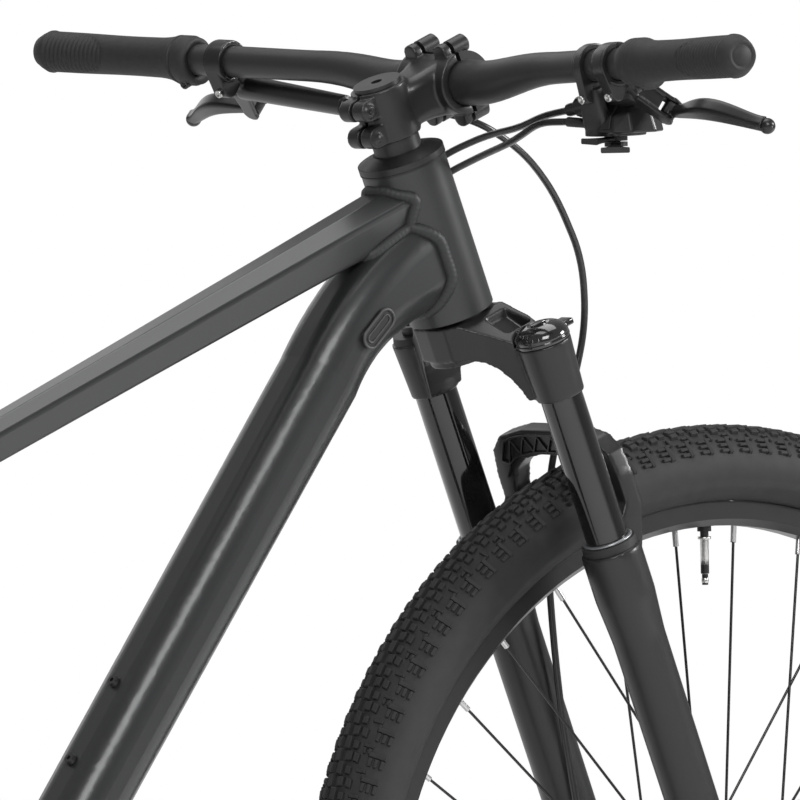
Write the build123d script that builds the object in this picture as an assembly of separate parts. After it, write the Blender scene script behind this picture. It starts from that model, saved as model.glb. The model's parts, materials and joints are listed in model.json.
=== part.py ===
"""Hardtail mountain bike, modelled piece by piece in millimetres.

The origin is on the ground, midway between the two wheels' contact points. +X points forwards, +Y to the
rider's left and +Z up. The pieces that turn with the fork are drawn in a steering frame whose origin is on
the fork crown's race seat, with z up the steering axis, x forwards and y to the left.
"""
from build123d import *
import os
from math import asin, atan2, cos, floor, pi, radians, sin, sqrt, tan

os.makedirs("parts", exist_ok=True)

# --- clearances -------------------------------------------------------------------------------------------
run = 0.05            # radial play of a shaft in its bore
seat = 0.3            # gap between curved faces of pieces that move apart
tight = 0.05          # gap of a clamp round its tube

# --- geometry of the whole bike -----------------------------------------------------------------------------
tyre_radius = 371.0
tyre_section = 59.0            # the tyre's width and height
tyre_in_rim = 4.5              # how deep the tyre sits between the rim's edges
between_tyres = 403.0
wheel_base = 2 * tyre_radius + between_tyres
head_angle = 68.7
crown_over_tyre = 137.0
axle_to_crown = tyre_radius + crown_over_tyre
fork_offset = 46.0
bottom_bracket_drop = 60.0
bracket_behind_tyre = 67.0     # from the rear tyre's tread to the bottom bracket
chainstay_length = tyre_radius + bracket_behind_tyre
seat_angle = 73.5
seat_tube_length = 445.0

# --- frame --------------------------------------------------------------------------------------------------
head_tube_length = 113.0
head_tube_radius = 30.4
head_tube_wall = 6.4
head_tube_start = 3.0          # height of its lower rim over the crown's race seat
top_tube_height = 89.7         # where the top tube's axis meets the steering axis
top_tube_on_seat_tube = 389.0
top_tube_head_size = (52.0, 35.0)
top_tube_seat_size = (32.0, 25.0)
down_bend_at = (-127.2, 8.9)   # where the down tube starts to bend, behind and above the crown's race
down_tube_head_height = 49.0   # its middle and its height where it meets the head tube
down_tube_head_size = 66.0
down_tube_size = (56.0, 52.0)
seat_tube_radius = 17.45
shell_radius = 23.5
shell_half_width = 46.0
hub_half_rear = 74.0
dropout_thickness = 8.0
stay_size = (14.0, 24.0)
bottle_low = 265.0             # lower bottle-cage screw, up the down tube from the bottom bracket
bottle_spacing = 64.0
boss_low = 150.0               # the open bottle bosses, up the seat tube from the bottom bracket
boss_height = 3.0
boss_radius = 2.5
plug_at = (-87.0, 29.0)        # the oval cable plugs, behind and above the crown's race
plug_slope = 22.0
plug_length = 33.0
plug_width = 14.0

# --- fork ---------------------------------------------------------------------------------------------------
leg_spacing = 137.0
leg_offset = 17.0              # the stanchions ahead of the steering axis
stanchion_radius = 15.0
fork_travel = 100.0
crown_sleeve_end = -66.0
knob_radius = 19.6
knob_height = 13.5
crown_sleeve_top = -25.0
lowers_top = -177.0
stanchion_end = -400.0
leg_radius = 19.0
seal_head_radius = 21.5
hub_half_front = 55.0
front_axle_radius = 7.5
rear_axle_radius = 6.0
steerer_radius = 14.3
steerer_base_radius = 19.9
caliper_angle_front = 38.0     # the caliper's direction from the axle, up from square behind the leg
caliper_angle_rear = 17.0      # and from the rear axle, up from straight ahead
caliper_bolts = 74.0           # between the two post bolts

# --- cockpit ------------------------------------------------------------------------------------------------
cover_height = 10.5
cover_rim = 6.0                # the upright edge under its shallow cone
cover_radius = 31.0
spacer_height = 10.0
spacer_radius = 17.0
stem_height = 38.0
stem_clamp_radius = 20.0
bar_forward = 55.0
bar_radius = 15.9
bar_end_radius = 11.1
bar_half_width = 380.0
bar_straight = 38.0            # half the length of the thick middle
bar_rise = 10.4                # how far the bar climbs between its middle and its bend
bar_bend = 105.0               # where the bar bends, out from its middle
bar_taper_end = 140.0
bar_back = 0.1535              # how far the bar's outer part leans back and rises, per mm outwards
bar_lift = 0.1065
stem_half_width = 26.0
stem_rise = -2.0               # degrees over square to the steering axis
brake_clamp_in = 170.0         # the brake clamp's middle, in from the bar's end
shifter_in = 200.0
grip_length = 132.0
grip_radius = 15.5
collar_width = 12.0
collar_radius = 18.0

# --- wheels -------------------------------------------------------------------------------------------------
rim_outer_radius = tyre_radius - tyre_section + tyre_in_rim
rim_height = 17.5
rim_bed_radius = rim_outer_radius - rim_height
rim_half_width = 14.5
rim_hook = 2.5
tyre_half_width = tyre_section / 2
tyre_wall = 3.5
spoke_count = 32
spoke_radius = 1.0
spoke_crosses = 3
flange_radius = 29.0
nipple_length = 12.0
nipple_radius = 2.0
rotor_front_radius = 90.0
rotor_rear_radius = 80.0
rotor_thickness = 1.8
rotor_front_y = 44.0
rotor_rear_y = 58.0

valve_front = 90.0             # degrees up from straight ahead
valve_rear = 205.0
freehub_start = -73.7
freehub_radius = 10.0
# --- drivetrain ---------------------------------------------------------------------------------------------
pitch = 12.7
roller_radius = 3.85
ring_teeth = 32
cog_teeth = (10, 12, 14, 16, 18, 21, 24, 28, 33, 39, 45, 51)
used_cog = 5
cog_spacing = 3.65
chain_line = 52.0
sprocket_thickness = 1.6
jockey_teeth = 13
chain_links = 112
chain_inner = 1.1              # half the width inside the inner plates
chain_plate = 0.75
crank_length = 170.0
pedal_shoulder = 88.0          # how far out the pedal axles leave the cranks
pedal_axle_radius = 6.5
pedal_width = 98.0
cage_length = 94.0             # between the two jockey wheels
guide_from_axle = (14.0, -113.0)
link_length = 46.0
link_spacing = 18.0
saddle_top = 975.0
post_inserted = 130.0
rail_spread = 22.0


def rod(start, end, radius):
    """A round bar between two points."""
    start, end = Vector(*start), Vector(*end)
    return Solid.make_cylinder(radius, (end - start).length, Plane(origin=start, z_dir=end - start))


def cone(start, end, start_radius, end_radius):
    start, end = Vector(*start), Vector(*end)
    plane = Plane(origin=start, z_dir=end - start)
    return Solid.make_cone(start_radius, end_radius, (end - start).length, plane)


def pipe(start, end, outer, inner):
    """A tube between two points. The bore is cut a little past both ends."""
    start, end = Vector(*start), Vector(*end)
    along = (end - start).normalized()
    return rod(start, end, outer) - rod(start - along, end + along, inner)


def block(low, high):
    size = [b - a for a, b in zip(low, high)]
    return Solid.make_box(*size, Plane(origin=low))


def along_path(points, sizes, side=(0, 1, 0), first=None):
    """A loft of rounded rectangles (width, height, corner) set square to a path of points."""
    points = [Vector(*p) for p in points]
    faces = []
    for i, (point, (width, height, corner)) in enumerate(zip(points, sizes)):
        before, after = points[max(i - 1, 0)], points[min(i + 1, len(points) - 1)]
        tangent = (after - before).normalized()
        if i == 0 and first is not None:
            tangent = first
        across = Vector(*side)
        across = (across - tangent * across.dot(tangent)).normalized()
        plane = Plane(origin=point, x_dir=across, z_dir=tangent)
        faces.append((plane * RectangleRounded(width, height, corner)).face())
    return loft(faces)


def curved(controls, count):
    """Even points along a smooth curve set by four control points."""
    curve = Bezier(*controls)
    return [tuple(curve @ (i / (count - 1))) for i in range(count)]


def mirrored(point, side, y=None):
    """The point on the side named by +1 or -1, moved to a distance y when one is given."""
    return Vector(point.X, side * (point.Y if y is None else y), point.Z)


def slab(outline, plane, near, far):
    """A flat outline on a plane, extruded from one height to another."""
    face = make_face(Polyline(*outline, close=True))
    return extrude(plane.offset(near) * face, far - near)


def spun(outline):
    """A ring about the Y axis from (radius, y) points."""
    return revolve(make_face(Polyline(*outline, close=True)), Axis.Y)


def bent_rod(points, radius, bends):
    path = FilletPolyline(*points, radius=bends)
    profile = Plane(origin=path @ 0, z_dir=path % 0) * Circle(radius)
    return sweep(profile, path)


def smooth_bends(points):
    """The largest radius each corner has room for: 0.45 of its shorter run."""
    points = [Vector(*p) for p in points]
    radii = []
    for a, b, c in zip(points, points[1:], points[2:]):
        turn = radians((b - a).get_angle(c - b))
        radii.append(0.45 * min((b - a).length, (c - b).length) / tan(turn / 2))
    return radii


def cord(points, radius, name):
    bends = smooth_bends(points)
    print(name, "bend radii", [round(b) for b in bends])
    return bent_rod(points, radius, bends)


nodes = {}

# --- reference points ----------------------------------------------------------------------------------------
rear_axle_point = Vector(-wheel_base / 2, 0, tyre_radius)
front_axle_point = Vector(wheel_base / 2, 0, tyre_radius)
up_steering = Vector(-cos(radians(head_angle)), 0, sin(radians(head_angle)))
ahead = Vector(sin(radians(head_angle)), 0, cos(radians(head_angle)))
crown_point = front_axle_point - ahead * fork_offset + up_steering * axle_to_crown
steering = Plane(origin=crown_point, x_dir=ahead, z_dir=up_steering).location
shell_reach = sqrt(chainstay_length**2 - bottom_bracket_drop**2)
shell_point = Vector(rear_axle_point.X + shell_reach, 0, tyre_radius - bottom_bracket_drop)
up_seat = Vector(-cos(radians(seat_angle)), 0, sin(radians(seat_angle)))
left = Vector(0, 1, 0)


def on_steering(x, y, z):
    return crown_point + ahead * x + left * y + up_steering * z


def in_steering(shape):
    return shape.moved(steering)


head_tube_end = head_tube_start + head_tube_length

# --- frame tubes ----------------------------------------------------------------------------------------------
head_low, head_high = on_steering(0, 0, head_tube_start), on_steering(0, 0, head_tube_end)
head_solid = rod(head_low, head_high, head_tube_radius)
nodes["head_tube"] = pipe(head_low, head_high, head_tube_radius, head_tube_radius - head_tube_wall)

shell_ends = [shell_point + left * s * shell_half_width for s in (-1, 1)]
shell_solid = rod(*shell_ends, shell_radius)
seat_top = shell_point + up_seat * seat_tube_length
seat_solid = rod(shell_point, seat_top, seat_tube_radius)
post_radius = 15.8
seat_bore = rod(shell_point, seat_top + up_seat, post_radius + tight)
spindle_bore = rod(shell_ends[0] - left, shell_ends[1] + left, shell_radius - 3)
ahead_of_seat = Vector(up_seat.Z, 0, -up_seat.X)
boss_feet = [shell_point + up_seat * d for d in (boss_low, boss_low + bottle_spacing)]
boss_bores = [rod(foot, foot + ahead_of_seat * 30, boss_radius) for foot in boss_feet]
nodes["seat_tube"] = seat_solid + shell_solid - seat_bore - spindle_bore - boss_bores[0] - boss_bores[1]

down_bend = on_steering(down_bend_at[0], 0, down_bend_at[1])
down_dir = (down_bend - shell_point).normalized()
w, h = down_tube_size
down_straight = along_path([shell_point, down_bend], [(w - 2, h - 3, 20), (w, h, 21)])
into_head = [down_bend, on_steering(-88.5, 0, 32.5), on_steering(-48, 0, down_tube_head_height - 4),
             on_steering(-4, 0, down_tube_head_height)]
head_h = down_tube_head_size
down_curve = along_path(into_head, [(w, h, 21), (w + 2, h + 1, 22), (w + 2, head_h - 4, 23), (w, head_h, 22)],
                        first=down_dir)
down_solid = down_straight + down_curve
down_solid = down_solid - rod(on_steering(0, 0, -80), on_steering(0, 0, head_tube_start), 52)
nodes["down_tube"] = down_solid - head_solid - shell_solid - seat_solid

top_start = on_steering(0, 0, top_tube_height)
top_end = shell_point + up_seat * top_tube_on_seat_tube
top_dir = (top_start - top_end).normalized()


def top_section(t, width, height):
    """Six-sided section: narrow top, crease at the widest line over its middle, narrower underside."""
    half, crest, crease, foot = width / 2, width * 0.19, height * 0.23, width * 0.29
    outline = [(-crest, height / 2), (-half, crease), (-foot, -height / 2),
               (foot, -height / 2), (half, crease), (crest, height / 2)]
    plane = Plane(origin=top_end + (top_start - top_end) * t, x_dir=left, z_dir=top_dir)
    return (plane * fillet(make_face(Polyline(*outline, close=True)).vertices(), 3.5)).face()


top_steps = [(1.0, 1.0), (0.72, 0.62), (0.4, 0.30), (0.0, 0.0)]
top_faces = []
for t, share in top_steps:
    width = top_tube_seat_size[0] + share * (top_tube_head_size[0] - top_tube_seat_size[0])
    height = top_tube_seat_size[1] + share * (top_tube_head_size[1] - top_tube_seat_size[1])
    top_faces.append(top_section(t, width, height))
top_solid = loft(top_faces)
nodes["top_tube"] = top_solid - head_solid - down_solid - seat_solid


def piece(centre, out, along, radii, spans, ys):
    """A block on a wheel's side, by its distances from the axle, across that line and along Y."""
    corners = [centre + out * radii[i] + along * spans[j] for i, j in ((0, 0), (1, 0), (1, 1), (0, 1))]
    return slab([(c.X, c.Z) for c in corners], Plane.XZ, -ys[1], -ys[0])


def caliper_posts(centre, out, along, face, ys):
    """Two posts with a web, whose outer faces carry a caliper's feet."""
    half = caliper_bolts / 2
    made = piece(centre, out, along, (face - 24, face - 14), (-half - 8, half + 8), ys)
    for s in (-1, 1):
        made = made + piece(centre, out, along, (face - 20, face), (s * half - 8, s * half + 8), ys)
    return made - piece(centre, out, along, (face - 30, face + 1), (-half + 8.5, half - 8.5), (ys[0] - 1, ys[1] + 1))


front_out = Vector(-cos(radians(caliper_angle_front)), 0, sin(radians(caliper_angle_front)))
front_along = Vector(sin(radians(caliper_angle_front)), 0, cos(radians(caliper_angle_front)))
rear_out = Vector(cos(radians(caliper_angle_rear)), 0, sin(radians(caliper_angle_rear)))
rear_along = Vector(-sin(radians(caliper_angle_rear)), 0, cos(radians(caliper_angle_rear)))


def rear_stays(side):
    """Chainstay, seatstay and dropout of one side."""
    low, tall = stay_size
    shell_x, shell_z = shell_point.X, shell_point.Z
    axle_x, axle_z = rear_axle_point.X, rear_axle_point.Z
    outer = hub_half_rear + dropout_thickness / 2
    chain_points = curved([
        (shell_x - 5, side * 31, shell_z + 1), (shell_x - 125, side * 40, shell_z + 14),
        (axle_x + 150, side * 76, axle_z - 20), (axle_x + 20, side * (outer + 1), axle_z - 3)], 7)
    chain_sizes = [(low - 0.5 * i, tall - 1.3 * i, 5 - 0.15 * i) for i in range(7)]
    chainstay = along_path(chain_points, chain_sizes)
    join = shell_point + up_seat * (top_tube_on_seat_tube - 16)
    foot = Vector(axle_x + 13, side * (outer - 0.4), axle_z + 15)
    reach = Vector(join.X, side * 17, join.Z) - foot
    seat_points = curved([
        tuple(foot), tuple(mirrored(foot + reach * (1 / 3), side, 74)),
        tuple(mirrored(foot + reach * (2 / 3), side, 57)), tuple(foot + reach)], 7)
    seat_sizes = [(10 + 0.3 * i, 16 + 0.6 * i, 4) for i in range(7)]
    seatstay = along_path(seat_points, seat_sizes)
    inner_face = side * hub_half_rear
    outer_face = side * (hub_half_rear + dropout_thickness)
    plate = rod((axle_x, inner_face, axle_z), (axle_x, outer_face, axle_z), 17)
    web = slab([(axle_x - 8, axle_z + 12), (axle_x + 4, axle_z + 30), (axle_x + 26, axle_z + 34),
                (axle_x + 44, axle_z + 4), (axle_x + 24, axle_z - 11), (axle_x, axle_z - 15)],
               Plane.XZ, -outer_face, -inner_face)
    stays = chainstay + seatstay + plate + web
    keep_out = block((axle_x - 24, -hub_half_rear, axle_z - 30), (axle_x + 45, hub_half_rear, axle_z + 45))
    bore = rod((axle_x, -100, axle_z), (axle_x, 100, axle_z), rear_axle_radius + run)
    if side > 0:
        centre = rear_axle_point
        stays = stays + caliper_posts(centre, rear_out, rear_along, rotor_rear_radius + 6, (60.2, 73))
    return stays - keep_out - bore - seat_solid - shell_solid


nodes["rear_stays_left"] = rear_stays(1)
nodes["rear_stays_right"] = rear_stays(-1)


# --- bearings and small frame pieces ----------------------------------------------------------------------------
def steering_pipe(low, high, outer, inner, x=0, y=0):
    return pipe(on_steering(x, y, low), on_steering(x, y, high), outer, inner)


head_bore = head_tube_radius - head_tube_wall
lower_bearing = steering_pipe(head_tube_start + 1, head_tube_start + 8, head_bore, steerer_base_radius + run)
upper_bearing = steering_pipe(head_tube_end - 8, head_tube_end - 1, head_bore, steerer_radius + run)
cups = []
spindle_radius = 12.0
for s in (-1, 1):
    face = shell_point + left * s * shell_half_width
    cups.append(pipe(face - left * s * 11, face + left * s * 4, shell_radius - 3, spindle_radius + run)
                + pipe(face, face + left * s * 4, shell_radius - 0.5, spindle_radius + run))
nodes["frame_bearings"] = Compound(children=[lower_bearing, upper_bearing, *cups])

clamp_low, clamp_high = seat_top - up_seat * 14, seat_top - up_seat * 1
seat_clamp = pipe(clamp_low, clamp_high, seat_tube_radius + 3.5, seat_tube_radius)
clamp_bolt_at = (clamp_low + clamp_high) * 0.5 - ahead_of_seat * (seat_tube_radius + 6)
clamp_plane = Plane(origin=clamp_bolt_at, x_dir=ahead_of_seat, z_dir=up_seat)
ears = extrude(clamp_plane.offset(-5.5) * Rectangle(16, 16), 11)
ears = ears - rod(clamp_low - up_seat * 5, clamp_high + up_seat * 5, seat_tube_radius)
slot = extrude(clamp_plane.offset(-20) * Rectangle(24, 2), 40)
bolt = rod(clamp_bolt_at + left * -11 - Vector(2, 0, 0), clamp_bolt_at + left * 11 - Vector(2, 0, 0), 2.5)
bolt_head = rod(clamp_bolt_at + left * -14 - Vector(2, 0, 0), clamp_bolt_at + left * -8 - Vector(2, 0, 0), 4.2)
seat_clamp = seat_clamp + ears - slot - bolt - bolt_head
clamp_bolt = bolt + bolt_head


normal = Vector(-down_dir.Z, 0, down_dir.X)
screws = []
for distance in (bottle_low, bottle_low + bottle_spacing):
    at = shell_point + down_dir * distance + normal * (down_tube_size[1] / 2)
    screws.append(cone(at, at + normal * 3.2, 4.5, 3.8) - rod(at + normal * 1.2, at + normal * 4, 1.6)
                  - down_solid)
bosses = []
for foot in boss_feet:
    outside = foot + ahead_of_seat * (seat_tube_radius + boss_height)
    bosses.append(pipe(foot, outside, 5.5, boss_radius) - seat_solid)
plug_base = on_steering(plug_at[0], 0, plug_at[1])
plug_along = ahead * cos(radians(plug_slope)) + up_steering * sin(radians(plug_slope))
plugs = []
for s in (-1, 1):
    plane = Plane(origin=plug_base + left * s * (down_tube_size[0] / 2 - 1.5), x_dir=plug_along, z_dir=(0, s, 0))
    plugs.append(extrude(plane * SlotOverall(plug_length, plug_width), 4.4) - down_solid)
nodes["frame_fittings"] = Compound(children=[seat_clamp, clamp_bolt, *screws, *bosses, *plugs])

# --- fork ---------------------------------------------------------------------------------------------------
steerer_top = head_tube_end + cover_height + spacer_height + stem_height - 3
leg_y = leg_spacing / 2
stem_low = head_tube_end + cover_height + spacer_height
stem_middle = stem_low + stem_height / 2
bar_height = stem_middle + bar_forward * tan(radians(stem_rise))

under = [(53, -64), (50.5, -56), (46.5, -46), (41, -37.5), (34, -30.5), (25, -26.5), (13, -25)]
over = [(24, 0), (36, -8), (50, -17), (58, -22), (leg_y, -25)]
crown_outline = [(y, z) for y, z in over] + [(leg_y, -64)] + under
crown_outline = crown_outline + [(-y, z) for y, z in reversed(crown_outline)]
crown_front = slab(crown_outline, Plane.YZ, -34, 46)
half_top = [(-26, 0), (-24, 16), (-9, 38), (leg_offset - 13, leg_y - 9), (leg_offset + 13, leg_y - 9), (32, 42),
            (26, 18), (27, 0)]
top_outline = half_top + [(x, -y) for x, y in reversed(half_top[1:-1])]
crown = crown_front & slab(top_outline, Plane.XY, -80, 10)
crown = crown + rod((0, 0, -30), (0, 0, 0), 25)
for s in (-1, 1):
    pocket = slab([(leg_offset - 13, s * 29), (leg_offset - 11, s * 46), (leg_offset + 12, s * 46),
                   (leg_offset + 6, s * 29)], Plane.XY, -60, 20)
    crown = crown - (pocket & slab([(s * 20, 0), (s * 20, 8), (s * 60, 8), (s * 60, -36), (s * 46, -28)],
                                   Plane.YZ, -60, 60))
    sleeve = cone((leg_offset, s * leg_y, crown_sleeve_end), (leg_offset, s * leg_y, crown_sleeve_top), 17.1, 19.4)
    crown = crown + sleeve
    crown = crown - rod((leg_offset, s * leg_y, -80), (leg_offset, s * leg_y, crown_sleeve_top - 4),
                        stanchion_radius)
    crown = crown - rod((leg_offset, s * leg_y, crown_sleeve_top), (leg_offset, s * leg_y, 20), knob_radius + 0.7)
steerer = cone((0, 0, 0), (0, 0, 26), steerer_base_radius, steerer_radius)
steerer = steerer + rod((0, 0, 26), (0, 0, steerer_top), steerer_radius)
race = rod((0, 0, 0), (0, 0, head_tube_start - seat), head_bore)
crown = crown + steerer + race - rod((0, 0, -40), (0, 0, steerer_top + 1), 11.5)
nodes["fork_crown"] = in_steering(crown)

stanchions = [pipe((leg_offset, s * leg_y, stanchion_end), (leg_offset, s * leg_y, crown_sleeve_top - 4),
                   stanchion_radius, stanchion_radius - 2) for s in (-1, 1)]
nodes["stanchions"] = in_steering(Compound(children=stanchions))

knob_low = crown_sleeve_top + seat
knob_ball = (knob_radius ** 2 + knob_height ** 2) / (2 * knob_height)
knob = Location((leg_offset, -leg_y, knob_low + knob_height - knob_ball)) * Sphere(knob_ball)
knob = knob & rod((leg_offset, -leg_y, knob_low), (leg_offset, -leg_y, knob_low + 30), knob_radius)
tab = slab([(leg_offset + 12, -leg_y - 8), (leg_offset + 26, -leg_y - 6), (leg_offset + 26, -leg_y + 6),
            (leg_offset + 12, -leg_y + 8)], Plane.XY, knob_low, knob_low + 6)
knob = knob + tab
nodes["lockout_knob"] = in_steering(knob)
cap = cone((leg_offset, leg_y, crown_sleeve_top), (leg_offset, leg_y, crown_sleeve_top + 5), 18, 17)
cap = cap + rod((leg_offset, leg_y, crown_sleeve_top + 5), (leg_offset, leg_y, crown_sleeve_top + 11), 10)
cap = cap - extrude(Plane.XY.offset(crown_sleeve_top + 7) * Location((leg_offset, leg_y)) * RegularPolygon(6, 6), 9)
nodes["air_cap"] = in_steering(cap)

axle_in_fork = Vector(fork_offset, 0, -axle_to_crown)


def lower_leg(side):
    x, y = leg_offset, side * leg_y
    leg = cone((x, y, -axle_to_crown - 12), (x, y, -250), leg_radius - 1, leg_radius)
    leg = leg + cone((x, y, -250), (x, y, -218), leg_radius, seal_head_radius)
    leg = leg + rod((x, y, -218), (x, y, lowers_top - 6), seal_head_radius)
    dropout = slab([(x - 12, -axle_to_crown - 12), (x - 12, -axle_to_crown + 70), (x + 10, -axle_to_crown + 70),
                    (fork_offset + 12, -axle_to_crown + 12), (fork_offset + 16, -axle_to_crown - 2),
                    (fork_offset + 4, -axle_to_crown - 16)],
                   Plane.XZ, -side * (hub_half_front + 17), -side * hub_half_front)
    leg = leg + dropout
    return leg


legs = lower_leg(1) + lower_leg(-1)
outer_half = [(67, -214), (66.5, -142), (63, -124), (52, -113), (27, -107.5)]
inner_half = [(50, -214), (49, -152), (43, -138), (30, -129.5), (12, -126.5)]
outer_arch, inner_arch = [slab(half + [(-y, z) for y, z in reversed(half)], Plane.YZ, 0, 70)
                          for half in (outer_half, inner_half)]
band = outer_arch - inner_arch - block((-10, -90, -320), (80, 90, -212))
side_view = slab([(leg_offset, -214), (leg_offset + 21, -214), (58, -168), (60, -100), (44, -100), (44, -160),
                  (leg_offset, -190)], Plane.XZ, -90, 90)
arch = band & side_view
lowers = legs + arch
for s in (-1, 1):
    bore_end = -axle_to_crown + 6
    lowers = lowers - rod((leg_offset, s * leg_y, bore_end), (leg_offset, s * leg_y, lowers_top + 20),
                          stanchion_radius + run)
    lowers = lowers - rod((leg_offset, s * leg_y, lowers_top - 6), (leg_offset, s * leg_y, lowers_top + 20), 19.8)
lowers = lowers - rod(axle_in_fork - left * 100, axle_in_fork + left * 100, front_axle_radius + run)
posts = caliper_posts(axle_in_fork, front_out, front_along, rotor_front_radius + 6, (53.5, 65.5))
foot_web = slab([(leg_offset - 8, -axle_to_crown + 104), (leg_offset - 26, -axle_to_crown + 82),
                 (leg_offset - 57, -axle_to_crown + 38), (leg_offset - 60, -axle_to_crown + 22),
                 (leg_offset - 40, -axle_to_crown + 14), (leg_offset - 4, -axle_to_crown + 6)],
                Plane.XZ, -65.5, -53.5)
lowers = lowers + posts + foot_web
lowers = lowers - rod((leg_offset, leg_y, bore_end), (leg_offset, leg_y, lowers_top + 20),
                      stanchion_radius + run)
lowers = lowers - piece(axle_in_fork, front_out, front_along, (rotor_front_radius - 11, rotor_front_radius + 12),
                        (-caliper_bolts / 2 + 8.5, caliper_bolts / 2 - 8.5), (53, 66))
nodes["fork_lowers"] = in_steering(lowers)
seals = [pipe((leg_offset, s * leg_y, lowers_top - 6), (leg_offset, s * leg_y, lowers_top), 19.4,
              stanchion_radius + run) for s in (-1, 1)]
nodes["fork_seals"] = in_steering(Compound(children=seals))
front_axle = rod(axle_in_fork - left * 80, axle_in_fork + left * (hub_half_front + 17), front_axle_radius)
front_axle = front_axle + rod(axle_in_fork - left * 78, axle_in_fork - left * (hub_half_front + 17), 11)
nodes["front_axle"] = in_steering(front_axle)

# --- headset cover, stem and bar --------------------------------------------------------------------------------
rim_top = head_tube_end + cover_rim
cover = rod((0, 0, head_tube_end + seat), (0, 0, rim_top), cover_radius)
cover = cover - pipe((0, 0, head_tube_end + 1.2), (0, 0, head_tube_end + 1.8), cover_radius + 1, cover_radius - 0.5)
cover = cover + cone((0, 0, rim_top), (0, 0, head_tube_end + cover_height), cover_radius - 1, spacer_radius + 1.5)
cover = cover - rod((0, 0, 0), (0, 0, 300), steerer_radius + tight)
spacer = pipe((0, 0, head_tube_end + cover_height), (0, 0, stem_low), spacer_radius, steerer_radius + tight)
stem_top = stem_low + stem_height
top_cap = rod((0, 0, stem_top), (0, 0, stem_top + 3), 17) - rod((0, 0, stem_top + 1), (0, 0, stem_top + 9), 4)
top_cap = top_cap + rod((0, 0, steerer_top - 20), (0, 0, stem_top + 1), 3)
nodes["headset_stack"] = in_steering(Compound(children=[cover, spacer, top_cap]))

bar_centre = Vector(bar_forward, 0, bar_height)
bar_bore = bar_radius + tight
stem = rod((0, 0, stem_low), (0, 0, stem_top), stem_clamp_radius)
stem_sections = [(4, 38, 37, stem_middle), (24, 34, 34, stem_middle - 1), (bar_forward - 6, 46, 42, bar_height)]
stem = stem + loft([
    (Plane(origin=(x, 0, z), x_dir=(0, 1, 0), z_dir=(1, 0, 0)) * RectangleRounded(wide, tall, 9)).face()
    for x, wide, tall, z in stem_sections])
stem_ears = []
for s, z in ((-1, stem_middle + 9), (1, stem_middle - 11)):
    ear = rod((-23, -13, z), (-23, 13, z), 7.5) + block((-23, -13, z - 7.5), (-6, 13, z + 7.5))
    stem_ears.append(ear)
stem = stem + stem_ears[0] + stem_ears[1]
clamp_barrel = rod(bar_centre - left * stem_half_width, bar_centre + left * stem_half_width, bar_radius + 6.5)
lugs = [rod((bar_forward - 8, s * 16, bar_height + v * 24), (bar_forward + 15, s * 16, bar_height + v * 24), 6.5)
        for s in (-1, 1) for v in (-1, 1)]
clamp_whole = clamp_barrel
for lug in lugs:
    clamp_whole = clamp_whole + lug
front_half = block((bar_forward + 1.2, -40, bar_height - 50), (bar_forward + 60, 40, bar_height + 50))
rear_half = block((bar_forward - 60, -40, bar_height - 50), (bar_forward - 1.2, 40, bar_height + 50))
bar_hole = rod(bar_centre - left * 60, bar_centre + left * 60, bar_bore)
face_plate = (clamp_whole & front_half) - bar_hole
face_plate = face_plate - block((bar_forward + 10, -9, bar_height - 13), (bar_forward + 40, 9, bar_height + 13))
stem = stem + (clamp_whole & rear_half) - front_half - bar_hole
stem = stem - block((bar_forward - 1.2, -40, bar_height - 50), (bar_forward + 60, 40, bar_height + 50))
stem = stem - rod((0, 0, stem_low - 1), (0, 0, stem_top + 1), steerer_radius + tight)
stem = stem - block((-40, -1.5, stem_low - 1), (0, 1.5, stem_top + 1))
stem = stem - rod((0, 0, stem_top), (0, 0, stem_top + 12), 17.5)
plate_bolts = []
for s in (-1, 1):
    for v in (-1, 1):
        z = bar_height + v * 24
        shank = rod((bar_forward - 7, s * 16, z), (bar_forward + 16, s * 16, z), 2.5)
        head = rod((bar_forward + 11, s * 16, z), (bar_forward + 17, s * 16, z), 4.2)
        face_plate = face_plate - shank - head
        stem = stem - shank
        plate_bolts.append(shank + head - rod((bar_forward + 14, s * 16, z), (bar_forward + 20, s * 16, z), 2))
pinch_bolts = []
for s, z in ((-1, stem_middle + 9), (1, stem_middle - 11)):
    shank = rod((-23.5, -14, z), (-23.5, 14, z), 2.5)
    head = rod((-23.5, s * 9, z), (-23.5, s * 15, z), 4.2)
    stem = stem - shank - head
    pinch_bolts.append(shank + head - rod((-23.5, s * 12.5, z), (-23.5, s * 17, z), 2))
nodes["stem"] = in_steering(Compound(children=[stem, *pinch_bolts]))
nodes["stem_faceplate"] = in_steering(Compound(children=[face_plate, *plate_bolts]))


def bar_point(y):
    """The bar's axis at a distance y from the middle, outside its bend."""
    return bar_centre + Vector(-bar_back * (y - bar_bend), y, bar_rise + bar_lift * (y - bar_bend))


grip_end = bar_point(bar_half_width)
grip_along = (grip_end - bar_point(bar_bend)).normalized()


def bar_side(side):
    """One half of the bar: the taper round its bend, then the straight end."""
    halfway = (left + grip_along + Vector(0, 0, 0.08)).normalized()
    climbing = (left + Vector(-0.03, 0, 0.16)).normalized()
    stations = [(bar_centre + left * bar_straight, left, bar_radius),
                (bar_centre + left * 72 + Vector(-0.3, 0, bar_rise * 0.38), climbing, bar_radius - 1.9),
                (bar_point(bar_bend) + Vector(-0.7, 0, -0.6), halfway, bar_end_radius + 1.1),
                (bar_point(bar_bend + 22), grip_along, bar_end_radius + 0.2),
                (bar_point(bar_taper_end), grip_along, bar_end_radius)]
    rings = []
    for point, along, radius in stations:
        plane = Plane(origin=mirrored(point, side), x_dir=(0, 0, 1), z_dir=mirrored(along, side))
        rings.append((plane * Circle(radius)).face())
    straight = rod(mirrored(bar_point(bar_taper_end), side), mirrored(grip_end, side), bar_end_radius)
    return loft(rings) + straight


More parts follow.
